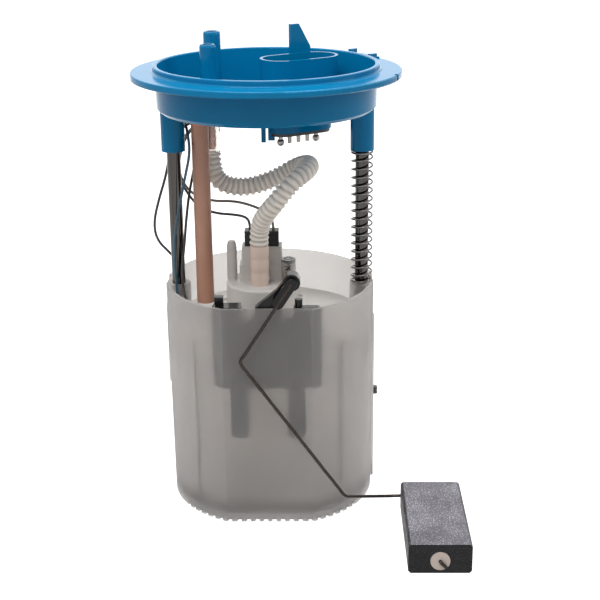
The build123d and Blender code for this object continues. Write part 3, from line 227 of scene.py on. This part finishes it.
class SpringSettings(PropertyGroup):
    main_wire: FloatProperty(
        name="Main wire", description="Wire of the main spring", default=0.001, unit="LENGTH"
    )
    main_turns: FloatProperty(
        name="Main turns", description="Turns of the main spring", default=17.5
    )
    relief_wire: FloatProperty(
        name="Relief wire", description="Wire of the relief spring", default=0.0005, unit="LENGTH"
    )
    relief_turns: FloatProperty(
        name="Relief turns", description="Turns of the relief spring", default=5.5
    )


class FinishSettings(PropertyGroup):
    flange: FloatVectorProperty(
        name="Flange",
        description="Colour of the flange moulding",
        default=(0.001, 0.165, 0.345),
        subtype="COLOR",
    )
    reservoir: FloatVectorProperty(
        name="Reservoir",
        description="Colour of the milky reservoir",
        default=(0.61, 0.59, 0.575),
        subtype="COLOR",
    )
    pump: FloatVectorProperty(
        name="Pump cover",
        description="Colour of the pump cover",
        default=(0.57, 0.543, 0.515),
        subtype="COLOR",
    )
    tube: FloatVectorProperty(
        name="Return tube",
        description="Colour of the return tube",
        default=(0.42, 0.215, 0.145),
        subtype="COLOR",
    )
    sender: FloatVectorProperty(
        name="Sender",
        description="Colour of the level sender",
        default=(0.006, 0.006, 0.0065),
        subtype="COLOR",
    )
    foam: FloatVectorProperty(
        name="Float",
        description="Colour of the foam float",
        default=(0.013, 0.0125, 0.0138),
        subtype="COLOR",
    )


class StageSettings(PropertyGroup):
    floor: FloatVectorProperty(
        name="Floor", description="Colour of the floor", default=(0.48, 0.48, 0.48), subtype="COLOR"
    )
    sky: FloatProperty(
        name="Sky", description="Strength of the even light around", default=0.34, min=0.0
    )
    key: FloatProperty(
        name="Key lamp", description="Power of the large soft lamp", default=10.5, unit="POWER"
    )


class ModuleSettings(PropertyGroup):
    hose: PointerProperty(type=HoseSettings)
    wires: PointerProperty(type=WireSettings)
    springs: PointerProperty(type=SpringSettings)
    finishes: PointerProperty(type=FinishSettings)
    stage: PointerProperty(type=StageSettings)


def settings():
    """The values shown in the sidebar."""
    return bpy.context.scene.fuel_module


def spline_line(name, route):
    """Points of one smooth spline whose control points are the route's, ends included."""
    curve = bpy.data.curves.new(name, "CURVE")
    curve.dimensions = "3D"
    spline = curve.splines.new("NURBS")
    spline.points.add(len(route) - 1)
    spline.points.foreach_set("co", np.insert(np.array(route), 3, 1.0, axis=1).ravel())
    spline.order_u = 3
    spline.use_endpoint_u = True
    spline.resolution_u = 48
    holder = bpy.data.objects.new(name, curve)
    bpy.context.scene.collection.objects.link(holder)
    bpy.context.view_layer.update()
    mesh = bpy.data.meshes.new_from_object(holder)
    line = np.empty(len(mesh.vertices) * 3)
    mesh.vertices.foreach_get("co", line)
    bpy.data.objects.remove(holder)
    bpy.data.curves.remove(curve)
    bpy.data.meshes.remove(mesh)
    return line.reshape(-1, 3)


def arc_lengths(line):
    """Distance along the line at each of its points: the running sum of its steps."""
    return np.concatenate(([0.0], np.cumsum(np.linalg.norm(np.diff(line, axis=0), axis=1))))


def even_line(line, count):
    """The line read at even distances, by straight lines between its close points."""
    along = arc_lengths(line)
    stations = np.linspace(0.0, along[-1], count)
    return np.stack([np.interp(stations, along, line[:, axis]) for axis in range(3)], axis=1)


def carried_frames(line):
    """Two directions square to the line at each point, carried along it without twist: each is the
    last one less its share along the new tangent."""
    tangent = np.gradient(line, axis=0)
    tangent /= np.linalg.norm(tangent, axis=1)[:, None]
    side = np.empty_like(tangent)
    carried = np.array((0.0, 1.0, 0.0)) if abs(tangent[0, 1]) < 0.8 else np.array((1.0, 0.0, 0.0))
    for ring, ahead in enumerate(tangent):
        carried = carried - ahead * (carried @ ahead)
        carried = carried / np.linalg.norm(carried)
        side[ring] = carried
    return side, np.cross(tangent, side)


def grid_faces(rings, sides):
    """Quads between each ring and the next, and one face over each end."""
    ring, place = np.meshgrid(np.arange(rings - 1), np.arange(sides), indexing="ij")
    after = (place + 1) % sides
    near = ring * sides
    far = near + sides
    quads = np.stack((near + place, near + after, far + after, far + place), axis=-1).reshape(-1, 4)
    first = list(range(sides))[::-1]
    last = [(rings - 1) * sides + step for step in range(sides)]
    return [*quads.tolist(), first, last]


def tube_piece(name, line, radii, sides, extras=None):
    """Round tube along a line. A point is line(s) + r(s) times (side(s) cos a + other(s) sin a).
    Its attributes are the distance along the line and the extras, one value for each ring."""
    side, other = carried_frames(line)
    angle = np.linspace(0.0, 2.0 * np.pi, sides, endpoint=False)[:, None]
    spoke = side[:, None] * np.cos(angle) + other[:, None] * np.sin(angle)
    points = line[:, None] + radii[:, None, None] * spoke
    mesh = bpy.data.meshes.new(name)
    mesh.from_pydata(points.reshape(-1, 3).tolist(), [], grid_faces(len(line), sides))
    mesh.polygons.foreach_set("use_smooth", np.ones(len(mesh.polygons), dtype=bool))
    facts = {"along": arc_lengths(line), **(extras or {})}
    for label, values in facts.items():
        mesh.attributes.new(label, "FLOAT", "POINT")
        each = np.repeat(values, sides).astype(np.float32)
        mesh.attributes[label].data.foreach_set("value", each)
    mesh.update()
    piece = bpy.data.objects.new(name, mesh)
    bpy.context.scene.collection.objects.link(piece)
    return piece


def follow_slide(piece):
    """Gives the piece its own copy of its mesh; nothing here shortens it with the slide."""
    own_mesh(piece)


def coil_line(centre, radius, turns, bottom, top, wire):
    """Centre line of a compression spring with closed ends: angle grows evenly, and height rises
    one wire over the first and last turn and evenly over the turns between."""
    count = int(turns * coil_points_per_turn)
    turn = np.linspace(0.0, turns, count)
    low = bottom + wire / 2
    high = top - wire / 2
    height = np.interp(turn, (0.0, 1.0, turns - 1.0, turns), (low, low + wire, high - wire, high))
    angle = 2.0 * np.pi * turn
    return np.stack(
        (centre[0] + radius * np.cos(angle), centre[1] + radius * np.sin(angle), height), axis=1
    )


class NodeBoard:
    """Adds nodes to a material and joins them in few words."""

    def __init__(self, name):
        self.material = bpy.data.materials.new(name)
        self.material.use_nodes = True
        self.tree = self.material.node_tree
        self.shader = self.tree.nodes["Principled BSDF"]
        self.coordinates = self.add("ShaderNodeTexCoord").outputs
        self.where = self.coordinates["Object"]

    def add(self, kind, **values):
        """New node. A value goes to the node's property of that name, or else to its input."""
        node = self.tree.nodes.new(kind)
        for key, value in values.items():
            if hasattr(node, key):
                setattr(node, key, value)
            else:
                node.inputs[key.replace("_", " ").title()].default_value = value
        return node

    def join(self, start, end):
        self.tree.links.new(start, end)

    def paint(self, source):
        """Colour of the surface."""
        self.join(source, self.shader.inputs["Base Color"])

    def gloss(self, source, low, high):
        """Roughness that goes from low to high with the source."""
        self.join(self.spread(source, low, high), self.shader.inputs["Roughness"])

    def attribute(self, label):
        """Value that tube_piece stored under this label."""
        return self.add("ShaderNodeAttribute", attribute_name=label).outputs["Fac"]

    def height(self, vector):
        """How far a place or a direction reaches upward."""
        axes = self.add("ShaderNodeSeparateXYZ")
        self.join(vector, axes.inputs[0])
        return axes.outputs["Z"]

    def multiply(self, first, second):
        """One colour times another. The mix node has them in inputs 6 and 7 and gives output 2."""
        node = self.add("ShaderNodeMix", data_type="RGBA", blend_type="MULTIPLY")
        node.inputs[0].default_value = 1.0
        self.join(first, node.inputs[6])
        self.join(second, node.inputs[7])
        return node.outputs[2]

    def noise(self, scale, detail=3.0, stretch=None):
        """Noise on the object's own coordinates, stretched by axis where asked."""
        source = self.where
        if stretch is not None:
            mapping = self.add("ShaderNodeMapping")
            mapping.inputs["Scale"].default_value = stretch
            self.join(source, mapping.inputs["Vector"])
            source = mapping.outputs["Vector"]
        node = self.add("ShaderNodeTexNoise", scale=scale, detail=detail)
        self.join(source, node.inputs["Vector"])
        return node.outputs["Fac"]

    def ramp(self, source, low, high, start=0.35, end=0.65):
        """Colour that goes from low to high as the source goes from start to end."""
        node = self.add("ShaderNodeValToRGB")
        for place, spot, colour in zip(node.color_ramp.elements, (start, end), (low, high)):
            place.position = spot
            place.color = (*colour, 1.0)
        self.join(source, node.inputs["Fac"])
        return node.outputs["Color"]

    def spread(self, source, low, high):
        """Number that goes from low to high as the source goes over the middle of its range."""
        node = self.add("ShaderNodeMapRange", from_min=0.3, from_max=0.7, to_min=low, to_max=high)
        self.join(source, node.inputs["Value"])
        return node.outputs["Result"]

    def bump(self, source, depth, strength=1.0):
        """Relief of the source's height, its depth in metres."""
        node = self.add("ShaderNodeBump", strength=strength, distance=depth)
        self.join(source, node.inputs["Height"])
        self.join(node.outputs["Normal"], self.shader.inputs["Normal"])

    def set(self, **values):
        """Plain values of the shader."""
        for key, value in values.items():
            label = key.replace("_", " ").title().replace("Ior", "IOR")
            self.shader.inputs[label].default_value = value


def shade(colour, factor):
    """The colour made darker or lighter, up to full."""
    return tuple(min(1.0, part * factor) for part in colour[:3])


def grey(level):
    """The same level in all three parts."""
    return (level, level, level)


def seen_rays(tree):
    """One where the camera looks, straight, through a wall or by a reflection, and nought for the
    rays that only carry light between pieces."""
    rays = tree.nodes.new("ShaderNodeLightPath").outputs
    seen = rays["Is Camera Ray"]
    for kind in ("Is Transmission Ray", "Is Glossy Ray"):
        either = tree.nodes.new("ShaderNodeMath")
        either.operation = "MAXIMUM"
        tree.links.new(seen, either.inputs[0])
        tree.links.new(rays[kind], either.inputs[1])
        seen = either.outputs[0]
    return seen


def moulded_plastic(
    name, colour, roughness, mottle=0.08, grain=0.00002, grain_scale=900.0, **more
):
    """Moulded plastic: broad flow clouds in its colour, uneven gloss and a fine tool grain."""
    board = NodeBoard(name)
    cloud = board.noise(scale=28.0, detail=4.0)
    board.paint(board.ramp(cloud, shade(colour, 1 - mottle), shade(colour, 1 + mottle)))
    board.gloss(board.noise(scale=140.0), roughness * 0.85, roughness * 1.2)
    board.bump(board.noise(grain_scale, detail=2.0), grain)
    board.set(**more)
    return board.material


def drawn_metal(name, colour, roughness, stretch=(900.0, 900.0, 12.0), depth=0.00001):
    """Drawn metal: fine lines along the draw, with gloss that varies between the lines. With the
    same stretch on all axes it's a fine even grain."""
    board = NodeBoard(name)
    lines = board.noise(scale=1.0, stretch=stretch)
    board.paint(board.ramp(lines, shade(colour, 0.8), shade(colour, 1.12)))
    board.gloss(lines, roughness * 0.75, roughness * 1.35)
    board.bump(lines, depth)
    board.set(metallic=1.0)
    return board.material


def milky_plastic(name, colour):
    """Natural plastic: milky clouds, soft light through the wall, and darker towards the bottom."""
    board = NodeBoard(name)
    cloud = board.ramp(board.noise(scale=18.0), shade(colour, 0.96), shade(colour, 1.04))
    # Darker towards the bottom: the colour falls to six tenths below 5 mm
    foot = board.ramp(board.height(board.where), grey(0.6), grey(1.0), start=0.005, end=0.014)
    board.paint(board.multiply(cloud, foot))
    board.gloss(board.noise(scale=1.0, detail=2.0, stretch=(70.0, 70.0, 9.0)), 0.78, 0.84)
    board.bump(board.noise(scale=35.0, detail=2.0), 0.00002)
    board.set(transmission_weight=0.92, ior=1.5, specular_ior_level=0.3)
    return board.material


def ribbed_hose(name, colour):
    """Hose plastic with painted shade down in the grooves, and faint clouding along its length."""
    board = NodeBoard(name)
    groove = board.attribute("groove")
    # Painted shade: the colour falls to two thirds of itself down in each groove
    depth = board.ramp(groove, colour, shade(colour, 0.66), start=0.25, end=0.95)
    cloud = board.ramp(board.noise(scale=120.0), grey(0.92), grey(1.0))
    board.paint(board.multiply(depth, cloud))
    board.gloss(board.noise(scale=300.0), 0.38, 0.5)
    board.set(transmission_weight=0.28)
    return board.material


def wire_sheath(name, colour):
    """Wire insulation: slight clouding along it and a smooth drawn gloss."""
    board = NodeBoard(name)
    clouds_per_metre = 220.0
    scaled = board.add("ShaderNodeMath", operation="MULTIPLY")
    scaled.inputs[1].default_value = clouds_per_metre
    board.join(board.attribute("along"), scaled.inputs[0])
    noise = board.add("ShaderNodeTexNoise", noise_dimensions="1D")
    board.join(scaled.outputs[0], noise.inputs["W"])
    cloud = noise.outputs["Fac"]
    board.paint(board.ramp(cloud, shade(colour, 0.82), shade(colour, 1.18)))
    board.gloss(cloud, 0.36, 0.5)
    return board.material


def speckled_foam(name, colour):
    """Closed cell foam: small pale cells over a dark skin, pitted, with a painted highlight on its
    top.
    """
    board = NodeBoard(name)
    cells = board.add("ShaderNodeTexVoronoi", scale=1100.0)
    board.join(board.where, cells.inputs["Vector"])
    pits = cells.outputs["Distance"]
    speck = board.ramp(pits, shade(colour, 3.6), colour, start=0.1, end=0.42)
    wear = board.ramp(board.noise(scale=60.0, detail=4.0), grey(0.6), grey(1.0))
    upward = board.height(board.coordinates["Normal"])
    # Painted highlight: faces that look upward are made up to twelve times lighter, standing in for
    # light from above
    painted_top_light = board.ramp(upward, grey(1.0), (12.0, 12.0, 12.3), start=0.6, end=0.98)
    board.paint(board.multiply(board.multiply(speck, wear), painted_top_light))
    board.gloss(board.noise(scale=400.0), 0.42, 0.62)
    board.bump(pits, 0.00012, strength=0.7)
    board.set(specular_ior_level=0.16)
    return board.material


def woven_cloth(name, colour):
    """Filter cloth: two crossed sets of threads, each a fine wave over the object's coordinates."""
    board = NodeBoard(name)
    waves = []
    for direction in ("X", "Y"):
        wave = board.add("ShaderNodeTexWave", bands_direction=direction, scale=320.0)
        board.join(board.where, wave.inputs["Vector"])
        waves.append(wave.outputs["Fac"])
    weave = board.add("ShaderNodeMath", operation="MULTIPLY")
    board.join(waves[0], weave.inputs[0])
    board.join(waves[1], weave.inputs[1])
    board.paint(board.ramp(weave.outputs[0], shade(colour, 0.6), colour, start=0.1, end=0.6))
    board.bump(weave.outputs[0], 0.0001)
    board.set(roughness=0.85)
    return board.material


def dress(material, *names):
    """Puts a material in the slots of CAD nodes."""
    for name in names:
        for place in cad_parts[name].material_slots:
            place.material = material


class FUELMODULE_OT_camera(Operator):
    """Camera at the height and distance from which the module is seen"""

    bl_idname = "fuel_module.camera"
    bl_label = "Camera"

    def execute(self, context):
        pitch, yaw, roll = camera_angles
        reach = math.cos(pitch)
        ahead = Vector((math.sin(yaw) * reach, math.cos(yaw) * reach, -math.sin(pitch)))
        level = Vector((math.cos(yaw), -math.sin(yaw), 0.0))
        upright = level.cross(ahead)
        right = math.cos(roll) * level + math.sin(roll) * upright
        above = math.cos(roll) * upright - math.sin(roll) * level
        lens = bpy.data.cameras.new("camera")
        lens.sensor_width = camera_sensor
        lens.lens = camera_lens
        lens.clip_start, lens.clip_end = 0.01, 50.0
        camera = bpy.data.objects.new("camera", lens)
        turn = Matrix((right, above, -ahead)).transposed().to_4x4()
        camera.matrix_world = Matrix.Translation(camera_place) @ turn
        context.scene.collection.objects.link(camera)
        context.scene.camera = camera
        return {"FINISHED"}


class FUELMODULE_OT_hose(Operator):
    """Corrugated hose from the fitting under the flange round to the pump outlet"""

    bl_idname = "fuel_module.hose"
    bl_label = "Corrugated hose"

    def execute(self, context):
        hose = settings().hose
        line = spline_line("hose_route", hose_route)
        length = arc_lengths(line)[-1]
        ribs = round(length / hose.pitch)
        line = even_line(line, ribs * hose_points_per_rib + 1)
        phase = np.linspace(0.0, 2.0 * np.pi * ribs, len(line))
        groove = (0.5 + 0.5 * np.cos(phase)) ** groove_power
        radii = hose.diameter / 2 - hose.groove * groove
        piece = tube_piece("hose", line, radii, hose_sides, {"groove": groove})
        piece.data.materials.append(ribbed_hose("ribbed_hose", tuple(hose.colour)))
        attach(piece, "flange")
        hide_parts("corrugated_hose")
        follow_slide(piece)
        return {"FINISHED"}


class FUELMODULE_OT_wires(Operator):
    """Five wires between the flange's terminals and the pump, sender and deck"""

    bl_idname = "fuel_module.wires"
    bl_label = "Wires"

    def execute(self, context):
        wires = settings().wires
        for name, (route, length, slot, colour) in looms.items():
            line = even_line(spline_line(f"{name}_route", route), wire_points)
            radii = np.full(len(line), wires.diameter / 2)
            piece = tube_piece(f"{name}_wire", line, radii, wires.sides)
            piece.data.materials.append(wire_sheath(f"{name}_sheath", colour))
            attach(piece, "flange")
            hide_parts(f"wire_{name}")
            follow_slide(piece)
        return {"FINISHED"}


class FUELMODULE_OT_springs(Operator):
    """Main spring on the right hand rod and the small spring of the relief valve"""

    bl_idname = "fuel_module.springs"
    bl_label = "Springs"

    def execute(self, context):
        springs = settings().springs
        steel = drawn_metal("spring_steel", (0.16, 0.15, 0.145), 0.2, stretch=[500.0] * 3)
        coils = (
            ("main_coil", "main_spring", "flange", "height_slide", (0.0483, 0.0), 0.0053,
             springs.main_turns, 0.116, 0.187, springs.main_wire),
            ("relief_coil", "relief_spring", "reservoir", "relief_slide", (0.01, -0.0056), 0.00195,
             springs.relief_turns, 0.121, 0.1291, springs.relief_wire),
        )
        for name, node, body, joint, centre, radius, turns, low, high, wire in coils:
            line = coil_line(centre, radius, turns, low, high, wire)
            piece = tube_piece(name, line, np.full(len(line), wire / 2), coil_sides)
            piece.data.materials.append(steel)
            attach(piece, body)
            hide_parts(node)
            follow_slide(piece)
        return {"FINISHED"}


class FUELMODULE_OT_flange_finish(Operator):
    """Finishes of the flange and of what it carries"""

    bl_idname = "fuel_module.flange_finish"
    bl_label = "Flange finishes"

    def execute(self, context):
        finishes = settings().finishes
        blue = moulded_plastic(
            "flange_plastic", tuple(finishes.flange), 0.13,
            mottle=0.05, grain=0.000003, grain_scale=400.0, specular_ior_level=0.1,
        )
        dress(blue, "flange")
        dress(moulded_plastic("fitting_plastic", (0.56, 0.21, 0.11), 0.42), "pipe_fitting")
        tan = moulded_plastic("tube_plastic", tuple(finishes.tube), 0.45, mottle=0.05)
        dress(tan, "return_tube")
        clear = moulded_plastic(
            "clear_cuff", (0.9, 0.87, 0.83), 0.12, mottle=0.03, transmission_weight=0.92
        )
        dress(clear, "hose_cuff_top")
        dress(moulded_plastic("insert_resin", (0.02, 0.022, 0.024), 0.5), "terminal_insert")
        plate = drawn_metal("terminal_plate", (0.34, 0.32, 0.3), 0.38, stretch=[400.0] * 3)
        dress(plate, *(f"terminal_{number}" for number in range(1, 6)))
        rod = drawn_metal("rod_steel", (0.062, 0.058, 0.056), 0.12, depth=0.000003)
        dress(rod, "guide_rod_left", "guide_rod_right", "rod_pin_left", "rod_pin_right")
        return {"FINISHED"}


class FUELMODULE_OT_reservoir_finish(Operator):
    """Finishes of the reservoir, its floor valve and its clip"""

    bl_idname = "fuel_module.reservoir_finish"
    bl_label = "Reservoir finishes"

    def execute(self, context):
        finishes = settings().finishes
        dress(milky_plastic("milky_reservoir", tuple(finishes.reservoir)), "reservoir")
        dress(moulded_plastic("valve_rubber", grey(0.03), 0.7), "foot_valve")
        dress(moulded_plastic("clip_plastic", grey(0.03), 0.4), "side_clip")
        return {"FINISHED"}


class FUELMODULE_OT_pump_finish(Operator):
    """Finishes of the pump, its holder and its relief valve"""

    bl_idname = "fuel_module.pump_finish"
    bl_label = "Pump finishes"

    def execute(self, context):
        pump = tuple(settings().finishes.pump)
        dress(moulded_plastic("cover_plastic", pump, 0.5), "pump_cover")
        relief = moulded_plastic(
            "relief_plastic", shade(pump, 1.1), 0.25, transmission_weight=0.88
        )
        dress(relief, "relief_body")
        dress(moulded_plastic("holder_plastic", shade(pump, 1.2), 0.5), "pump_holder")
        inner = moulded_plastic("inner_plastic", shade(pump, 0.6), 0.5)
        dress(inner, "pump_inlet", "bell_end", "impeller")
        cuff = moulded_plastic(
            "lower_cuff", (0.78, 0.62, 0.53), 0.4, mottle=0.05, transmission_weight=0.15
        )
        dress(cuff, "hose_cuff_bottom")
        plug = moulded_plastic(
            "plug_plastic", (0.014, 0.016, 0.016), 0.3, specular_ior_level=0.2
        )
        dress(plug, "plug_left", "plug_right", "relief_cap")
        rubber = moulded_plastic("isolator_rubber", grey(0.03), 0.75)
        dress(rubber, "isolator_lower", "isolator_upper")
        dress(drawn_metal("can_steel", (0.55, 0.54, 0.53), 0.3), "pump_can")
        dress(drawn_metal("rotor_steel", (0.25, 0.24, 0.23), 0.4), "armature", "relief_plunger")
        ceramic = moulded_plastic("magnet_ceramic", (0.05, 0.05, 0.052), 0.65, mottle=0.12)
        dress(ceramic, "magnet_front", "magnet_rear")
        carbon = moulded_plastic("brush_carbon", (0.04, 0.038, 0.036), 0.6, mottle=0.15)
        dress(carbon, "brush_left", "brush_right")
        dress(woven_cloth("filter_weave", (0.8, 0.8, 0.76)), "strainer")
        return {"FINISHED"}


class FUELMODULE_OT_sender_finish(Operator):
    """Finishes of the level sender, its arm, its float and the retainer"""

    bl_idname = "fuel_module.sender_finish"
    bl_label = "Sender finishes"

    def execute(self, context):
        finishes = settings().finishes
        black = moulded_plastic(
            "sender_gloss", tuple(finishes.sender), 0.14,
            mottle=0.1, grain=0.000004, specular_ior_level=0.18,
        )
        dress(black, "sender_housing", "sender_lever", "sender_plug")
        dress(drawn_metal("arm_wire", (0.04, 0.033, 0.03), 0.36, stretch=[600.0] * 3), "float_arm")
        dress(speckled_foam("float_foam_skin", tuple(finishes.foam)), "float")
        dress(moulded_plastic("retainer_nylon", (0.52, 0.44, 0.39), 0.42), "float_retainer")
        dress(moulded_plastic("card_resin", (0.05, 0.16, 0.09), 0.4), "resistor_card")
        dress(drawn_metal("wiper_brass", (0.6, 0.45, 0.2), 0.3), "sender_wiper")
        return {"FINISHED"}


class FUELMODULE_OT_stage(Operator):
    """Pale floor, even sky and soft lamps"""

    bl_idname = "fuel_module.stage"
    bl_label = "Stage"

    def execute(self, context):
        stage = settings().stage
        mesh = bpy.data.meshes.new("floor")
        square = ((-1.0, -1.0), (1.0, -1.0), (1.0, 1.0), (-1.0, 1.0))
        corners = [(x * floor_half, y * floor_half, 0.0) for x, y in square]
        mesh.from_pydata(corners, [], [(0, 1, 2, 3)])
        floor = bpy.data.objects.new("floor", mesh)
        context.scene.collection.objects.link(floor)
        board = NodeBoard("floor_paint")
        pale = tuple(stage.floor)
        board.paint(board.ramp(board.noise(scale=3.0), shade(pale, 0.995), pale))
        lift = board.add("ShaderNodeMath", operation="MULTIPLY")
        lift.inputs[1].default_value = floor_lift
        board.join(seen_rays(board.tree), lift.inputs[0])
        board.join(lift.outputs[0], board.shader.inputs["Emission Strength"])
        board.set(roughness=0.7, emission_color=(1.0, 1.0, 1.0, 1.0))
        mesh.materials.append(board.material)

        world = bpy.data.worlds.new("even_sky")
        world.use_nodes = True
        context.scene.world = world
        tree = world.node_tree
        bright = tree.nodes.new("ShaderNodeMapRange")
        bright.inputs["To Min"].default_value = stage.sky
        bright.inputs["To Max"].default_value = 1.0
        tree.links.new(seen_rays(tree), bright.inputs["Value"])
        sky = tree.nodes["Background"]
        sky.inputs["Color"].default_value = (1.0, 1.0, 1.0, 1.0)
        tree.links.new(bright.outputs["Result"], sky.inputs["Strength"])

        for name, place, size, share in lamps:
            lamp = bpy.data.lights.new(name, "AREA")
            lamp.size = size
            lamp.energy = stage.key * share
            holder = bpy.data.objects.new(name, lamp)
            holder.location = place
            aim = Vector(lamp_target) - Vector(place)
            holder.rotation_euler = aim.to_track_quat("-Z", "Y").to_euler()
            context.scene.collection.objects.link(holder)
        context.scene.view_settings.view_transform = "Standard"
        return {"FINISHED"}


class FUELMODULE_PT_panel(Panel):
    """Shows the module's values and a button for each step"""

    bl_idname = "FUELMODULE_PT_panel"
    bl_label = "Fuel module"
    bl_space_type = "VIEW_3D"
    bl_region_type = "UI"
    bl_category = "Fuel Module"

    def draw(self, context):
        for group in ("hose", "wires", "springs", "finishes", "stage"):
            box = self.layout.box()
            box.label(text=group.capitalize())
            values = getattr(context.scene.fuel_module, group)
            for key in values.__annotations__:
                box.prop(values, key)
        for operator in operators:
            self.layout.operator(operator.bl_idname)


groups = (HoseSettings, WireSettings, SpringSettings, FinishSettings, StageSettings, ModuleSettings)
operators = (
    FUELMODULE_OT_camera,
    FUELMODULE_OT_hose,
    FUELMODULE_OT_wires,
    FUELMODULE_OT_springs,
    FUELMODULE_OT_flange_finish,
    FUELMODULE_OT_reservoir_finish,
    FUELMODULE_OT_pump_finish,
    FUELMODULE_OT_sender_finish,
    FUELMODULE_OT_stage,
)


def register():
    for entry in (*groups, *operators, FUELMODULE_PT_panel):
        bpy.utils.register_class(entry)
    bpy.types.Scene.fuel_module = PointerProperty(type=ModuleSettings)


def unregister():
    del bpy.types.Scene.fuel_module
    for entry in reversed((*groups, *operators, FUELMODULE_PT_panel)):
        bpy.utils.unregister_class(entry)


def main():
    register()
    bpy.ops.fuel_module.camera()
    bpy.ops.fuel_module.hose()
    bpy.ops.fuel_module.wires()
    bpy.ops.fuel_module.springs()
    bpy.ops.fuel_module.flange_finish()
    bpy.ops.fuel_module.reservoir_finish()
    bpy.ops.fuel_module.pump_finish()
    bpy.ops.fuel_module.sender_finish()
    bpy.ops.fuel_module.stage()


if __name__ == "__main__":
    main()
